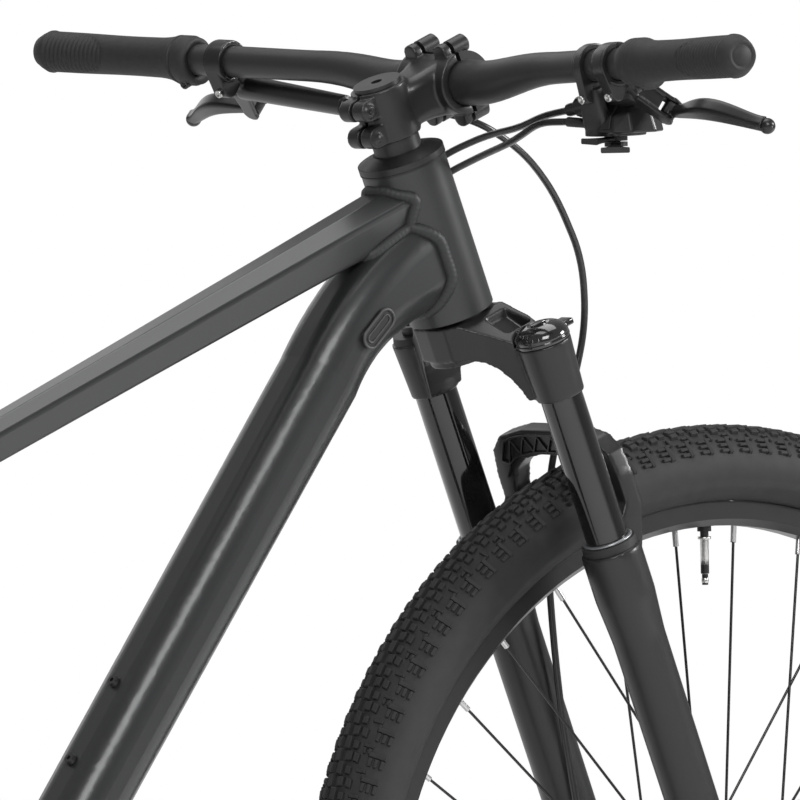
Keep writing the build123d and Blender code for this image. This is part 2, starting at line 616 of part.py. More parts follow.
handlebar = rod(bar_centre - left * bar_straight, bar_centre + left * bar_straight, bar_radius)
handlebar = handlebar + bar_side(1) + bar_side(-1)
nodes["handlebar"] = in_steering(handlebar)


def on_bar(distance, side):
    """A point on the bar's axis, by its distance in from the bar's end."""
    return mirrored(grip_end - grip_along * distance, side)


def grip(side):
    """Sleeve with a flared end cap, and the inner collar with its bolt."""
    bore = bar_end_radius + tight
    end, start, inner = on_bar(-3, side), on_bar(grip_length, side), on_bar(grip_length + collar_width, side)
    sleeve = pipe(on_bar(0, side), start, grip_radius, bore) + rod(on_bar(0, side), end, grip_radius - 1.2)
    sleeve = sleeve + cone(on_bar(22, side), on_bar(8, side), grip_radius, grip_radius + 1.5)
    sleeve = sleeve + cone(on_bar(8, side), on_bar(0, side), grip_radius + 1.5, grip_radius - 1.2)
    sleeve = sleeve - rod(on_bar(-0.1, side), on_bar(grip_length + 5, side), bore)
    collar = pipe(start, inner, collar_radius, bore)
    boss_at = (start + inner) * 0.5 + Vector(-6, 0, -collar_radius + 1)
    collar = collar + rod(boss_at - Vector(5, 0, 0), boss_at + Vector(10, 0, 0), 5)
    collar = collar - rod(on_bar(grip_length - 5, side), on_bar(grip_length + 30, side), bore)
    collar = collar - rod(boss_at - Vector(6, 0, 0), boss_at - Vector(2, 0, 0), 2)
    return Compound(children=[sleeve, collar])


nodes["grip_left"] = in_steering(grip(1))
nodes["grip_right"] = in_steering(grip(-1))

# --- brake levers and shifter -------------------------------------------------------------------------------
up_blade = Vector(0.86, 0, 0.51)
ahead_blade = Vector(0.51, 0, -0.86)
pump_drop = Vector(11, 2, -24.5)         # the pump's outer end from the clamp's middle
pump_inner = {1: Vector(8.5, -108, -37), -1: Vector(8.5, -62, -36)}
blade_drop = pump_drop + ahead_blade * 23 + left * 11


def beside_clamp(offset, side):
    """A point by its offset from the brake clamp's middle, outwards being +y on both sides."""
    return on_bar(brake_clamp_in, side) + mirrored(offset, side)


def pump_nut(side):
    """Where a brake's hose leaves its pump."""
    outer, inner = beside_clamp(pump_drop, side), beside_clamp(pump_inner[side], side)
    return inner + (inner - outer).normalized() * 13


def brake_body(side):
    """Band clamp and master cylinder, with the blade's fork at its outer end."""
    centre = on_bar(brake_clamp_in, side)
    across = mirrored(grip_along, side)
    clamp = pipe(centre - across * 7, centre + across * 7, bar_end_radius + 4, bar_end_radius + tight)
    outer, inner = beside_clamp(pump_drop, side), beside_clamp(pump_inner[side], side)
    down = (outer - centre).normalized()
    neck = along_path([tuple(centre + down * 13), tuple(centre + down * 24)], [(15, 13, 3), (17, 15, 3)])
    pump = cone(outer, inner, 9, 7.5) + rod(outer, outer + (outer - inner).normalized() * 4, 8)
    nut = rod(inner, pump_nut(side), 4.6)
    body = clamp + neck + pump + nut
    pivot = beside_clamp(blade_drop, side)
    for v in (-1, 1):
        body = body + rod(pivot + up_blade * v * 5.3, pivot + up_blade * v * 8.3, 6)
        body = body + along_path([tuple(outer + up_blade * v * 6.8), tuple(pivot + up_blade * v * 6.8)],
                                 [(3, 15, 1), (3, 11, 1)], side=tuple(up_blade))
    web_end = pivot + (outer - pivot).normalized() * 8
    body = body + along_path([tuple(outer), tuple(web_end)], [(12, 14, 1), (12, 9, 1)], side=tuple(up_blade))
    body = body + rod(pivot - up_blade * 8.3, pivot + up_blade * 8.3, 2)
    bolt_at = centre + Vector(-6, 0, -bar_end_radius - 6)
    body = body + rod(bolt_at - Vector(4, 0, 0), bolt_at + Vector(12, 0, 0), 4)
    return body - rod(centre - across * 30, centre + across * 30, bar_end_radius + tight)


def brake_blade(side):
    """Two-finger blade with a hooked end, swinging about its pin."""
    pivot = beside_clamp(blade_drop, side)
    eye = rod(pivot - up_blade * 5, pivot + up_blade * 5, 5.5)
    outline = [(0, 0), (0, 15), (-2.5, 33), (2.5, 59), (14, 86)]
    points = [pivot + ahead_blade * a + mirrored(Vector(0, b, 0), side) for a, b in outline]
    sizes = [(7, 8, 2), (8, 9, 2), (12, 12, 3), (12, 12, 3), (9, 10, 3)]
    arm = along_path([tuple(p) for p in points], sizes, side=tuple(ahead_blade))
    return eye + arm - rod(pivot - up_blade * 9, pivot + up_blade * 9, 2 + run)


for name, side in (("left", 1), ("right", -1)):
    nodes[f"brake_body_{name}"] = in_steering(brake_body(side))
    nodes[f"brake_blade_{name}"] = in_steering(brake_blade(side))

shift_clamp = on_bar(shifter_in, -1)
up_shift = Vector(0.35, 0, 0.94)
shift_across = mirrored(grip_along, -1)
shifter = pipe(shift_clamp - shift_across * 5, shift_clamp + shift_across * 5, bar_end_radius + 3.5,
               bar_end_radius + tight)
shift_body_at = shift_clamp + Vector(9, 8, -49)
bracket = along_path([tuple(shift_clamp + Vector(-2, 0, -13)), tuple(shift_clamp + Vector(-2, 2, -30)),
                      tuple(shift_body_at + Vector(-4, -2, 4))], [(16, 18, 3), (22, 24, 4), (30, 30, 5)])
shifter = shifter + bracket
shifter = shifter + (Plane(origin=shift_body_at + up_shift * 3.5, z_dir=up_shift) * Cylinder(21, 20))
barrel_end = shift_body_at + Vector(-11, 36, 7.5)
shifter = shifter + rod(shift_body_at + Vector(-6, 12, 4), barrel_end, 3.5)
shifter = shifter - rod(beside_clamp(pump_drop + Vector(0, 30, 2), -1), beside_clamp(pump_inner[-1], -1), 10.4)
shifter = shifter - rod(shift_body_at - up_shift * 6.5, shift_body_at - up_shift * 40, 45)
shifter = shifter - rod(shift_clamp - shift_across * 30, shift_clamp + shift_across * 30, bar_end_radius + tight)
shift_pin = rod(shift_body_at - up_shift * 16, shift_body_at, 3)
shifter = shifter + shift_pin
nodes["shifter_body"] = in_steering(shifter)


def shift_lever(gap, reach, out):
    base = shift_body_at - up_shift * (6.5 + gap)
    lever = Plane(origin=base, z_dir=up_shift * -1) * Cylinder(8, 3, align=(Align.CENTER, Align.CENTER, Align.MIN))
    tip = base + reach - up_shift * 1.5
    arm = along_path([tuple(base - up_shift * 1.5), tuple(base - up_shift * 1.5 + reach * 0.6), tuple(tip)],
                     [(10, 3, 1), (9, 3, 1), (out, 4, 1)], side=(0.2, 1, 0))
    lever = lever + arm
    return lever - rod(base + up_shift * 4, base - up_shift * 8, 3 + run)


nodes["shift_lever_up"] = in_steering(shift_lever(0.6, Vector(-29, -8, 10), 14))
nodes["shift_lever_down"] = in_steering(shift_lever(4.4, Vector(-24, -28, 6), 20))


# --- wheels ---------------------------------------------------------------------------------------------------
def tyre():
    """Casing with its beads inside the rim's hooks, drawn from (radius, y)."""
    centre = tyre_radius - tyre_half_width
    inner = rim_half_width - rim_hook - seat
    outer = Location((centre, 0)) * Circle(tyre_half_width)
    outer = outer + Location((rim_outer_radius - 2, 0)) * Rectangle(12, 2 * inner)
    hollow = Location((centre, 0)) * Circle(tyre_half_width - tyre_wall)
    hollow = hollow + Location((rim_outer_radius - 5, 0)) * Rectangle(24, 2 * (inner - 3))
    hooks = [Location((rim_outer_radius - 10 + seat, s * (inner + 10))) * Rectangle(20, 20) for s in (-1, 1)]
    return revolve(outer - hollow - hooks[0] - hooks[1], Axis.Y)


def rim(valve_angle):
    """Hooked rim section, with the valve through its bed."""
    lip, wall = rim_half_width, rim_half_width - rim_hook
    floor, well = rim_outer_radius - 8.5, rim_outer_radius - 11.5
    outline = [(rim_outer_radius, lip), (rim_outer_radius, wall), (floor, wall), (floor, 7), (well, 5),
               (well, -5), (floor, -7), (floor, -wall), (rim_outer_radius, -wall), (rim_outer_radius, -lip),
               (floor - 4, -lip), (rim_bed_radius, -8), (rim_bed_radius, 8), (floor - 4, lip)]
    ring = spun(outline)
    out = Vector(cos(valve_angle), 0, sin(valve_angle))
    ring = ring - rod(out * (rim_bed_radius - 5), out * (well + 3), 3)
    valve = rod(out * (well + 1), out * (rim_bed_radius - 34), 3) + rod(
        out * rim_bed_radius, out * (rim_bed_radius - 4), 5)
    valve = valve + rod(out * (rim_bed_radius - 34), out * (rim_bed_radius - 42), 2.2)
    return Compound(children=[ring, valve])


def spokes(near_flange, far_flange, first_angle):
    """Crossed spokes; near_flange and far_flange are the two flanges' y."""
    made = []
    wrap = 2 * pi * spoke_crosses / (spoke_count / 2)
    for i in range(spoke_count):
        at_rim = first_angle + 2 * pi * i / spoke_count
        flange_y = near_flange if i % 2 == 0 else far_flange
        lead = wrap if (i // 2) % 2 == 0 else -wrap
        at_hub = at_rim + lead
        bed = Vector(cos(at_rim) * rim_bed_radius, (2 if flange_y > 0 else -2), sin(at_rim) * rim_bed_radius)
        over = 1.6 if (i // 2) % 2 == 0 else -1.6
        hub = Vector(cos(at_hub) * flange_radius, flange_y + over, sin(at_hub) * flange_radius)
        inward = (hub - bed).normalized()
        made.append(rod(bed + inward * nipple_length, hub, spoke_radius))
        made.append(rod(bed - inward * 2, bed + inward * nipple_length, nipple_radius))
    return Compound(children=made)


def hub(end_y, flanges, body_radius, bore, sleeve_end=None):
    """Hub shell turned about Y; sleeve_end is where a cassette's sleeve starts."""
    thick = 1.6
    flange = flange_radius + 3
    low, high = flanges
    start = -end_y if sleeve_end is None else sleeve_end
    outline = [(bore, start), (freehub_radius, start), (freehub_radius, low - 8), (body_radius + 4, low - 6),
               (body_radius + 4, low - thick), (flange, low - thick), (flange, low + thick),
               (body_radius, low + thick + 6), (body_radius, high - thick - 6), (flange, high - thick),
               (flange, high + thick), (body_radius + 4, high + thick), (body_radius + 4, high + 6),
               (freehub_radius, high + 8), (freehub_radius, end_y), (bore, end_y)]
    return spun(outline)


def rotor(radius, y):
    """Brake disc: slotted band, swept arms and a six-bolt centre."""
    band = Circle(radius) - Circle(radius - 14)
    holes = PolarLocations(radius - 7, 30)
    band = band - [place * SlotOverall(8, 3) for place in holes]
    centre = Circle(26) - Circle(rotor_bore)
    centre = centre - [place * Circle(2.5) for place in PolarLocations(22, 6)]
    arms = []
    for place in PolarLocations(0, 6):
        arm = Polygon((18, -6), (24, 5), (radius - 12, 32), (radius - 12, 24), align=None)
        arms.append(place * arm)
    disc = band + centre
    for arm in arms:
        disc = disc + (arm & Circle(radius - 10) - Circle(20))
    disc = disc - [place * Circle(2.5) for place in PolarLocations(22, 6)]
    return extrude(Plane.XZ.offset(-y) * disc, rotor_thickness / 2, both=True)


rotor_bore = 17.5
for name, centre, end_y, flanges, disc, valve in (
        ("front", front_axle_point, hub_half_front, (-32.0, 22.0), (rotor_front_radius, rotor_front_y), valve_front),
        ("rear", rear_axle_point, hub_half_rear, (-18.0, 36.0), (rotor_rear_radius, rotor_rear_y), valve_rear)):
    at_axle = Location(centre)
    bore = front_axle_radius + run if name == "front" else rear_axle_radius + run
    nodes[f"{name}_tyre"] = tyre().moved(at_axle)
    nodes[f"{name}_rim"] = rim(radians(valve)).moved(at_axle)
    nodes[f"{name}_spokes"] = spokes(*flanges, radians(valve) + pi / spoke_count).moved(at_axle)
    sleeve_end = None if name == "front" else freehub_start
    shell = hub(end_y - 0.3, flanges, 16 if name == "front" else 19, bore, sleeve_end)
    radius, y = disc
    carrier = spun([(bore, y - 12), (24, y - 12), (24, y - rotor_thickness / 2),
                    (rotor_bore - tight, y - rotor_thickness / 2), (rotor_bore - tight, y + 2), (bore, y + 2)])
    nodes[f"{name}_hub"] = (shell + carrier).moved(at_axle)
    nodes[f"{name}_rotor"] = rotor(radius, y).moved(at_axle)

rear_axle = rod(rear_axle_point - left * (hub_half_rear + 12), rear_axle_point + left * (hub_half_rear + 8),
                rear_axle_radius)
nodes["rear_axle"] = rear_axle + rod(rear_axle_point + left * (hub_half_rear + 8),
                                     rear_axle_point + left * (hub_half_rear + 12), 9)


# --- calipers ---------------------------------------------------------------------------------------------------
def caliper(centre, out, along, radius, disc_y, feet):
    """Body over the disc with a slot for it, on two feet that stand on the posts."""
    face, half = radius + 6, caliper_bolts / 2
    near, far = disc_y - 8.5, disc_y + 7
    body = piece(centre, out, along, (face - 24, face + 14), (-23, 23), (near, far))
    body = body + piece(centre, out, along, (face + 1, face + 14), (-23, 23), (far - 1, feet[1]))
    body = body + piece(centre, out, along, (face, face + 8), (-half - 8, half + 8), feet)
    body = body - piece(centre, out, along, (face - 40, face - 2), (-50, 50), (disc_y - 2, disc_y + 2))
    for s in (-1, 1):
        at = centre + out * (face + 7) + along * s * half + left * (feet[0] + feet[1]) / 2
        body = body + (rod(at, at + out * 5, 3.4) - rod(at + out * 3, at + out * 7, 1.8))
    return body


front_caliper = caliper(axle_in_fork, front_out, front_along, rotor_front_radius, rotor_front_y, (53.5, 65.5))
nodes["front_caliper"] = in_steering(front_caliper)
nodes["rear_caliper"] = caliper(rear_axle_point, rear_out, rear_along, rotor_rear_radius, rotor_rear_y, (59.8, 67))

# --- hoses and the shift housing ----------------------------------------------------------------------------------
cord_radius = 2.5
front_hose_end = axle_in_fork + front_out * (rotor_front_radius + 12) + front_along * 23 + left * 40
start = pump_nut(1)
front_hose_points = [
    start, start + Vector(14, -32, -7), Vector(78, 14, 118), Vector(112, 12, 78), Vector(137, 24, 34),
    Vector(150, 34, -22), Vector(140, 40, -68), Vector(112, 41.5, -106), Vector(80, 42, -138),
    Vector(56, 42.5, -180), Vector(40, 43, -226), Vector(26, 44, -276), Vector(14, 44.5, -326),
    Vector(4, 43, -376), front_hose_end + front_along * 26, front_hose_end]
front_hose = cord([tuple(p) for p in front_hose_points], cord_radius, "front brake hose")
nodes["front_brake_hose"] = in_steering(front_hose - brake_body(1))

port = steering.inverse() * Location(plug_base)
port = Vector(*port.position) + left * (down_tube_size[0] / 2 + 1)
start = pump_nut(-1)
rear_front_points = [
    start, start + Vector(4, 34, -6), Vector(58, -62, 118), Vector(64, -18, 110), Vector(58, 26, 98), Vector(34, 54, 84),
    Vector(0, 62, 70), Vector(-36, 56, 56), Vector(-66, 44, 44), port + Vector(-3, -8, 3)]
shift_points = [
    barrel_end, barrel_end + Vector(3, 34, -2), Vector(51, -58, 110), Vector(56, -16, 98), Vector(53, 26, 85),
    Vector(30, 52, 72), Vector(-4, 56, 58), Vector(-38, 50, 45), Vector(-66, 41, 33), port + Vector(6, -8, -4)]
frame_skin = down_solid + head_solid
for plug in plugs:
    frame_skin = frame_skin + plug
hose_run = cord([tuple(p) for p in rear_front_points], cord_radius, "rear brake hose, front")
hose_run = in_steering(hose_run - brake_body(-1))
shift_run = in_steering(cord([tuple(p) for p in shift_points], cord_radius, "shift housing, front") - shifter)
axle_x, axle_z = rear_axle_point.X, rear_axle_point.Z
hose_end = rear_axle_point + rear_out * (rotor_rear_radius + 20) + left * (rotor_rear_y - 2)
rear_hose = cord([tuple(p) for p in (
    hose_end, hose_end + rear_out * 28, hose_end + rear_out * 62 + Vector(0, 1, -8),
    Vector(axle_x + 196, 58, axle_z + 12), Vector(axle_x + 226, 57, axle_z - 30))],
    cord_radius, "rear brake hose, rear")
rear_housing = cord([
    (axle_x + 62, -78, axle_z - 6), (axle_x + 36, -100, axle_z + 2), (axle_x - 8, -110, axle_z + 7),
    (axle_x - 55, -110, axle_z + 1), (axle_x - 91, -106, axle_z - 21), (axle_x - 111, -98, axle_z - 49),
    (axle_x - 101, -93, axle_z - 77), (axle_x - 75, -89, axle_z - 85), (axle_x - 37, -87, axle_z - 66)],
    cord_radius, "shift housing, rear")
nodes["rear_brake_hose"] = Compound(children=[hose_run - frame_skin, rear_hose - nodes["rear_stays_left"]])
front_housing = shift_run - frame_skin
rear_housing = rear_housing - nodes["rear_stays_right"]

# --- seatpost and saddle --------------------------------------------------------------------------------------
rail_height = saddle_top - 50
post_top = (rail_height - 14 - shell_point.Z) / up_seat.Z
post_low = shell_point + up_seat * (seat_tube_length - post_inserted)
post_high = shell_point + up_seat * post_top
clamp_at = Vector(post_high.X, 0, rail_height)
post = pipe(post_low, post_high, post_radius, post_radius - 2.4)
cradle = block((clamp_at.X - 20, -30, rail_height - 16), (clamp_at.X + 20, 30, rail_height - 0.3))
bridge = block((clamp_at.X - 18, -30, rail_height + 0.3), (clamp_at.X + 18, 30, rail_height + 8))
rails_in_clamp = [rod((clamp_at.X - 60, s * rail_spread, rail_height), (clamp_at.X + 60, s * rail_spread, rail_height),
                      3.5 + tight) for s in (-1, 1)]
clamp_bolts = []
for x in (clamp_at.X - 12, clamp_at.X + 12):
    shank = rod((x, 0, rail_height - 20), (x, 0, rail_height + 9), 2.5)
    head = rod((x, 0, rail_height - 20), (x, 0, rail_height - 16), 4.5)
    clamp_bolts.append(shank + head)
    cradle, bridge = cradle - shank, bridge - shank
    post = post - rod((x, 0, rail_height - 22), (x, 0, rail_height - 10), 5)
for rail in rails_in_clamp:
    cradle, bridge = cradle - rail, bridge - rail
nodes["seatpost"] = Compound(children=[post + cradle, bridge, *clamp_bolts])

rails = []
for s in (-1, 1):
    rails.append(bent_rod([
        (clamp_at.X - 104, s * 34, rail_height + 26), (clamp_at.X - 62, s * rail_spread, rail_height),
        (clamp_at.X + 62, s * rail_spread, rail_height), (clamp_at.X + 116, s * 9, rail_height + 27)],
        3.5, [30, 30]))
base_low, base_high = rail_height + 22, rail_height + 27
shell_sections = [(clamp_at.X - 118, 112), (clamp_at.X - 80, 118), (clamp_at.X - 20, 76), (clamp_at.X + 50, 44),
                  (clamp_at.X + 128, 26)]
middle = (base_low + base_high) / 2
base = along_path([(x, 0, middle) for x, _ in shell_sections],
                  [(w, base_high - base_low, 2) for _, w in shell_sections])
rails_and_base = base + rails[0] + rails[1]
nodes["saddle_rails"] = rails_and_base - block((clamp_at.X - 200, -90, base_high), (clamp_at.X + 200, 90, base_high + 20))
cover_sections = [(-132, 118, 22), (-104, 138, 22), (-50, 108, 22), (20, 62, 21.5), (90, 42, 20), (140, 32, 15)]
cover_low = base_high + seat
cover_points = [(clamp_at.X + x, 0, cover_low + tall / 2) for x, _, tall in cover_sections]
saddle = along_path(cover_points, [(w, tall, 6) for _, w, tall in cover_sections])
nodes["saddle_cover"] = saddle & block((clamp_at.X - 200, -90, cover_low), (clamp_at.X + 200, 90, saddle_top))


# --- sprockets --------------------------------------------------------------------------------------------------
def tooth_outline(teeth, phase):
    """A sprocket's toothed edge about the origin, with a roller's seat at the angle phase."""
    radius = teeth * pitch / (2 * pi)
    points = []
    for i in range(teeth):
        valley = phase + 2 * pi * i / teeth
        tip = valley + pi / teeth
        points += [(radius - 4.1, valley - 2.6 / radius), (radius - 4.1, valley + 2.6 / radius),
                   (radius + 3.2, tip - 0.9 / radius), (radius + 3.2, tip + 0.9 / radius)]
    return [(r * cos(a), r * sin(a)) for r, a in points]


def sprocket(teeth, phase, bore, y, thickness, windows=0, web=(0, 0)):
    """A toothed disc standing in the XZ plane, opened by sector windows between two radii."""
    face = make_face(Polyline(*tooth_outline(teeth, phase), close=True)) - Circle(bore)
    for i in range(windows):
        middle, half = 2 * pi * i / windows, pi / windows * 0.62
        steps = [middle + half * (j / 2 - 1) for j in range(5)]
        corners = [(web[1] * cos(a), web[1] * sin(a)) for a in steps]
        corners += [(web[0] * cos(a), web[0] * sin(a)) for a in (steps[4], steps[0])]
        face = face - make_face(Polyline(*corners, close=True))
    return extrude(Plane.XZ.offset(-y - thickness / 2) * face, thickness)


# --- the chain's path ---------------------------------------------------------------------------------------------
def direction(angle):
    return Vector(cos(angle), 0, sin(angle))


def tangent(a, b):
    """The straight run from one wheel to the next: each is (centre, radius, turn), turn +1 when anticlockwise."""
    between = b[0] - a[0]
    lean = asin((b[2] * b[1] - a[2] * a[1]) / between.length)
    phi = atan2(between.Z, between.X) - lean
    normal = direction(phi + pi / 2)
    return a[0] - normal * (a[2] * a[1]), b[0] - normal * (b[2] * b[1]), phi


ring_radius = ring_teeth * pitch / (2 * pi)
used_radius = cog_teeth[used_cog] * pitch / (2 * pi)
jockey_radius = jockey_teeth * pitch / (2 * pi)
guide_at = rear_axle_point + Vector(guide_from_axle[0], 0, guide_from_axle[1])


def chain_route(cage_angle):
    """The wheels in the chain's order and its length for one angle of the derailleur's cage."""
    tension_at = guide_at + direction(cage_angle) * cage_length
    wheels = [(rear_axle_point, used_radius, -1), (shell_point, ring_radius, -1),
              (tension_at, jockey_radius, -1), (guide_at, jockey_radius, 1)]
    spans = [tangent(wheels[i], wheels[(i + 1) % 4]) for i in range(4)]
    total, pieces = 0, []
    for i, (leave, arrive, phi) in enumerate(spans):
        pieces.append(("run", leave, arrive, (arrive - leave).length))
        centre, radius, turn = wheels[(i + 1) % 4]
        onward = spans[(i + 1) % 4][2]
        swept = ((onward - phi) * turn) % (2 * pi)
        pieces.append(("arc", centre, (radius, turn, phi), swept * radius))
    total = sum(p[3] for p in pieces)
    return wheels, pieces, total


low_angle, high_angle = radians(-110), radians(-20)
for _ in range(60):
    cage_angle = (low_angle + high_angle) / 2
    if chain_route(cage_angle)[2] > chain_links * pitch:
        low_angle = cage_angle
    else:
        high_angle = cage_angle
wheels, route, route_length = chain_route(cage_angle)
tension_at = wheels[2][0]
print("chain", route_length, chain_links * pitch, "cage angle", cage_angle * 180 / pi, "at rest",
      [chain_route(radians(a))[2] / pitch for a in (-110, -90, -70, -50, -30)])


def on_route(distance):
    """The chain's centre line at a distance along it."""
    for kind, a, b, length in route:
        if distance <= length:
            break
        distance -= length
    if kind == "run":
        return a + (b - a).normalized() * distance
    radius, turn, phi = b
    return a - direction(phi + pi / 2 + turn * distance / radius) * (turn * radius)


def seat_angle_of(index):
    """The angle of a roller's seat on the wheel that the route's arc number index goes round."""
    start = sum(p[3] for p in route[:index])
    _, centre, (radius, turn, phi), _ = route[index]
    first = pitch * (floor(start / pitch) + 1) - start
    spot = direction(phi + pi / 2 + turn * first / radius) * -turn
    return atan2(spot.Z, spot.X)


# --- chain --------------------------------------------------------------------------------------------------------
inner_y, outer_y = chain_inner, chain_inner + chain_plate
rollers = [on_route(i * pitch) for i in range(chain_links)]


def link_plate(a, b, start_y, height):
    """A pair of side plates from one roller to the next, on both sides of the chain's middle."""
    along = (b - a).normalized()
    across = Vector(-along.Z, 0, along.X)
    corners = [a - along * 3.9, a + across * height - along * 1.5, b + across * height + along * 1.5,
               b + along * 3.9, b - across * height + along * 1.5, a - across * height - along * 1.5]
    outline = [(c.X, c.Z) for c in corners]
    return [slab(outline, Plane.XZ, chain_line + s * start_y, chain_line + s * (start_y + chain_plate))
            for s in (-1, 1)]


def roller(point, along):
    across = Vector(-along.Z, 0, along.X)
    corners = [point + along * (roller_radius * cos(a)) + across * (roller_radius * sin(a))
               for a in [pi / 6 + i * pi / 3 for i in range(6)]]
    return slab([(c.X, c.Z) for c in corners], Plane.XZ, chain_line - chain_inner, chain_line + chain_inner)


links = []
for i in range(chain_links):
    a, b = rollers[i], rollers[(i + 1) % chain_links]
    if i % 2 == 0:
        plates = link_plate(a, b, inner_y, 3.6)
        along = (b - a).normalized()
        links.append(plates[0] + roller(a, along) + roller(b, along) + plates[1])
    else:
        links += link_plate(a, b, outer_y, 4.2)
nodes["chain"] = Compound(children=links)

# --- crankset, chainring and cassette -------------------------------------------------------------------------------
ring = sprocket(ring_teeth, seat_angle_of(1), 17.05, 0, sprocket_thickness, 4, (30, 52))
nodes["chainring"] = ring.moved(Location(shell_point - left * chain_line))
crank_boss = 17.0
cranks = rod(shell_point - left * 78, shell_point + left * 78, spindle_radius)
for s in (-1, 1):
    reach = Vector(-s * crank_length, 0, 0)
    end = shell_point + reach
    cranks = cranks + rod(shell_point + left * s * 50.4, shell_point + left * s * 78, crank_boss)
    cranks = cranks + along_path(
        [tuple(shell_point + left * s * 66 - reach * 0.06), tuple(shell_point + reach * 0.3 + left * s * 71),
         tuple(shell_point + reach * 0.7 + left * s * 78), tuple(end + left * s * 80)],
        [(14, 38, 5), (14, 32, 5), (13, 27, 5), (13, 25, 5)])
    cranks = cranks + rod(end + left * s * 73.5, end + left * s * pedal_shoulder, 14)
    cranks = cranks + rod(end + left * s * 80, end + left * s * (pedal_shoulder + pedal_width), pedal_axle_radius)
    slot = along_path([tuple(shell_point + reach * 0.3 + left * s * 79), tuple(shell_point + reach * 0.75 + left * s * 86)],
                      [(4, 13, 1.5), (4, 9, 1.5)])
    cranks = cranks - slot
nodes["crankset"] = cranks

cogs = []
for i, teeth in enumerate(cog_teeth):
    y = -chain_line + cog_spacing * (i - used_cog)
    radius = teeth * pitch / (2 * pi)
    windows = 6 if radius > 38 else 0
    phase = seat_angle_of(7) if i == used_cog else 0.1 * i
    cogs.append(sprocket(teeth, phase, 13.5, y, sprocket_thickness, windows, (20, radius - 9)))
core = spun([(freehub_radius + run, freehub_start + 0.6), (15.0, freehub_start + 0.6), (15.0, freehub_start + 2.4),
             (13.5, freehub_start + 2.4), (13.5, -27.6), (freehub_radius + run, -27.6)])
nodes["cassette"] = Compound(children=[core, *cogs]).moved(Location(rear_axle_point))

# --- derailleur -----------------------------------------------------------------------------------------------------
move = Vector(0.15, 0.66, -0.74).normalized()
link_way = Vector(0.945, -0.316, -0.09)
link_way = (link_way - move * link_way.dot(move)).normalized()
link_axis = link_way.cross(move).normalized()
body_pivot = rear_axle_point + Vector(-27.5, -91, -63)
knuckle_pivot = body_pivot + link_way * link_length
hanger_bolt = rear_axle_point + Vector(-7.5, 0, -28)


def link_block(centre, lengths, widths, spans):
    """A block in the links' own directions: along a link, along the movement, along the pins."""
    plane = Plane(origin=centre, x_dir=link_way, z_dir=link_axis)
    size = [b - a for a, b in (lengths, widths, spans)]
    made = Solid.make_box(*size, plane.offset(spans[0]))
    return made.moved(Location(link_way * lengths[0] + plane.y_dir * widths[0]))


def cheeks(centre, side):
    """The two cheeks that hold both links' pins, joined by a web on the far side of the links."""
    half = link_spacing / 2
    made = link_block(centre, (6, 13) if side > 0 else (-13, -6), (-half - 5, half + 5), (-13, 13))
    for low in (-13, 9.3):
        made = made + link_block(centre, (-5, 7) if side > 0 else (-7, 5), (-half - 5, half + 5), (low, low + 3.7))
    for s in (-1, 1):
        at = centre + move * s * half
        made = made + rod(at - link_axis * 12, at + link_axis * 12, 2)
    return made


def parallel_link(s):
    """One of the two links, set off from the middle by s times half their spacing."""
    a, b = body_pivot + move * s * link_spacing / 2, knuckle_pivot + move * s * link_spacing / 2
    made = rod(a - link_axis * 9, a + link_axis * 9, 4.2) + rod(b - link_axis * 9, b + link_axis * 9, 4.2)
    made = made + link_block(a, (0, link_length), (-3, 3), (-9, 9))
    for end in (a, b):
        made = made - rod(end - link_axis * 14, end + link_axis * 14, 2 + run)
    return made


hanger = slab([(axle_x - 12, axle_z + 9), (axle_x + 10, axle_z + 8), (axle_x + 14, axle_z - 8),
               (hanger_bolt.X + 11, hanger_bolt.Z - 9), (hanger_bolt.X - 9, hanger_bolt.Z - 10),
               (axle_x - 16, axle_z - 10)], Plane.XZ, hub_half_rear + dropout_thickness, 87)
hanger = hanger - rod((axle_x, -100, axle_z), (axle_x, 100, axle_z), rear_axle_radius + run)
body = rod(hanger_bolt - left * 87, hanger_bolt - left * 103, 11)
body = body + along_path([tuple(hanger_bolt - left * 95), tuple(body_pivot - link_way * 12 + link_axis * 14),
                          tuple(body_pivot - link_way * 12)], [(13, 16, 4), (15, 14, 4), (15, 13, 4)])
body = body - link_block(body_pivot, (-6, 60), (-45, 45), (-20, 9.3))
nodes["derailleur_mount"] = hanger + body + cheeks(body_pivot, -1)
nodes["shift_housing"] = Compound(children=[front_housing, rear_housing - nodes["derailleur_mount"]])
nodes["derailleur_outer_link"] = parallel_link(-1)
nodes["derailleur_inner_link"] = parallel_link(1)

cage_pivot = guide_at + Vector(-6, 0, 12)
knuckle = rod(cage_pivot - left * 59.1, cage_pivot - left * 88, 11)
knuckle = knuckle + along_path(
    [tuple(cage_pivot - left * 80), tuple(knuckle_pivot + link_way * 12 + move * 24),
     tuple(knuckle_pivot + link_way * 12 + move * 4)], [(15, 18, 4), (16, 15, 4), (16, 14, 4)])
knuckle = knuckle - link_block(knuckle_pivot, (-60, 6), (-45, 22), (-20, 20))
knuckle = knuckle + cheeks(knuckle_pivot, 1)
nodes["derailleur_p_knuckle"] = knuckle - rod(cage_pivot - left * 50, cage_pivot - left * 78, 5 + run)

cage_way = (tension_at - guide_at).normalized()
cage_side = Vector(-cage_way.Z, 0, cage_way.X)


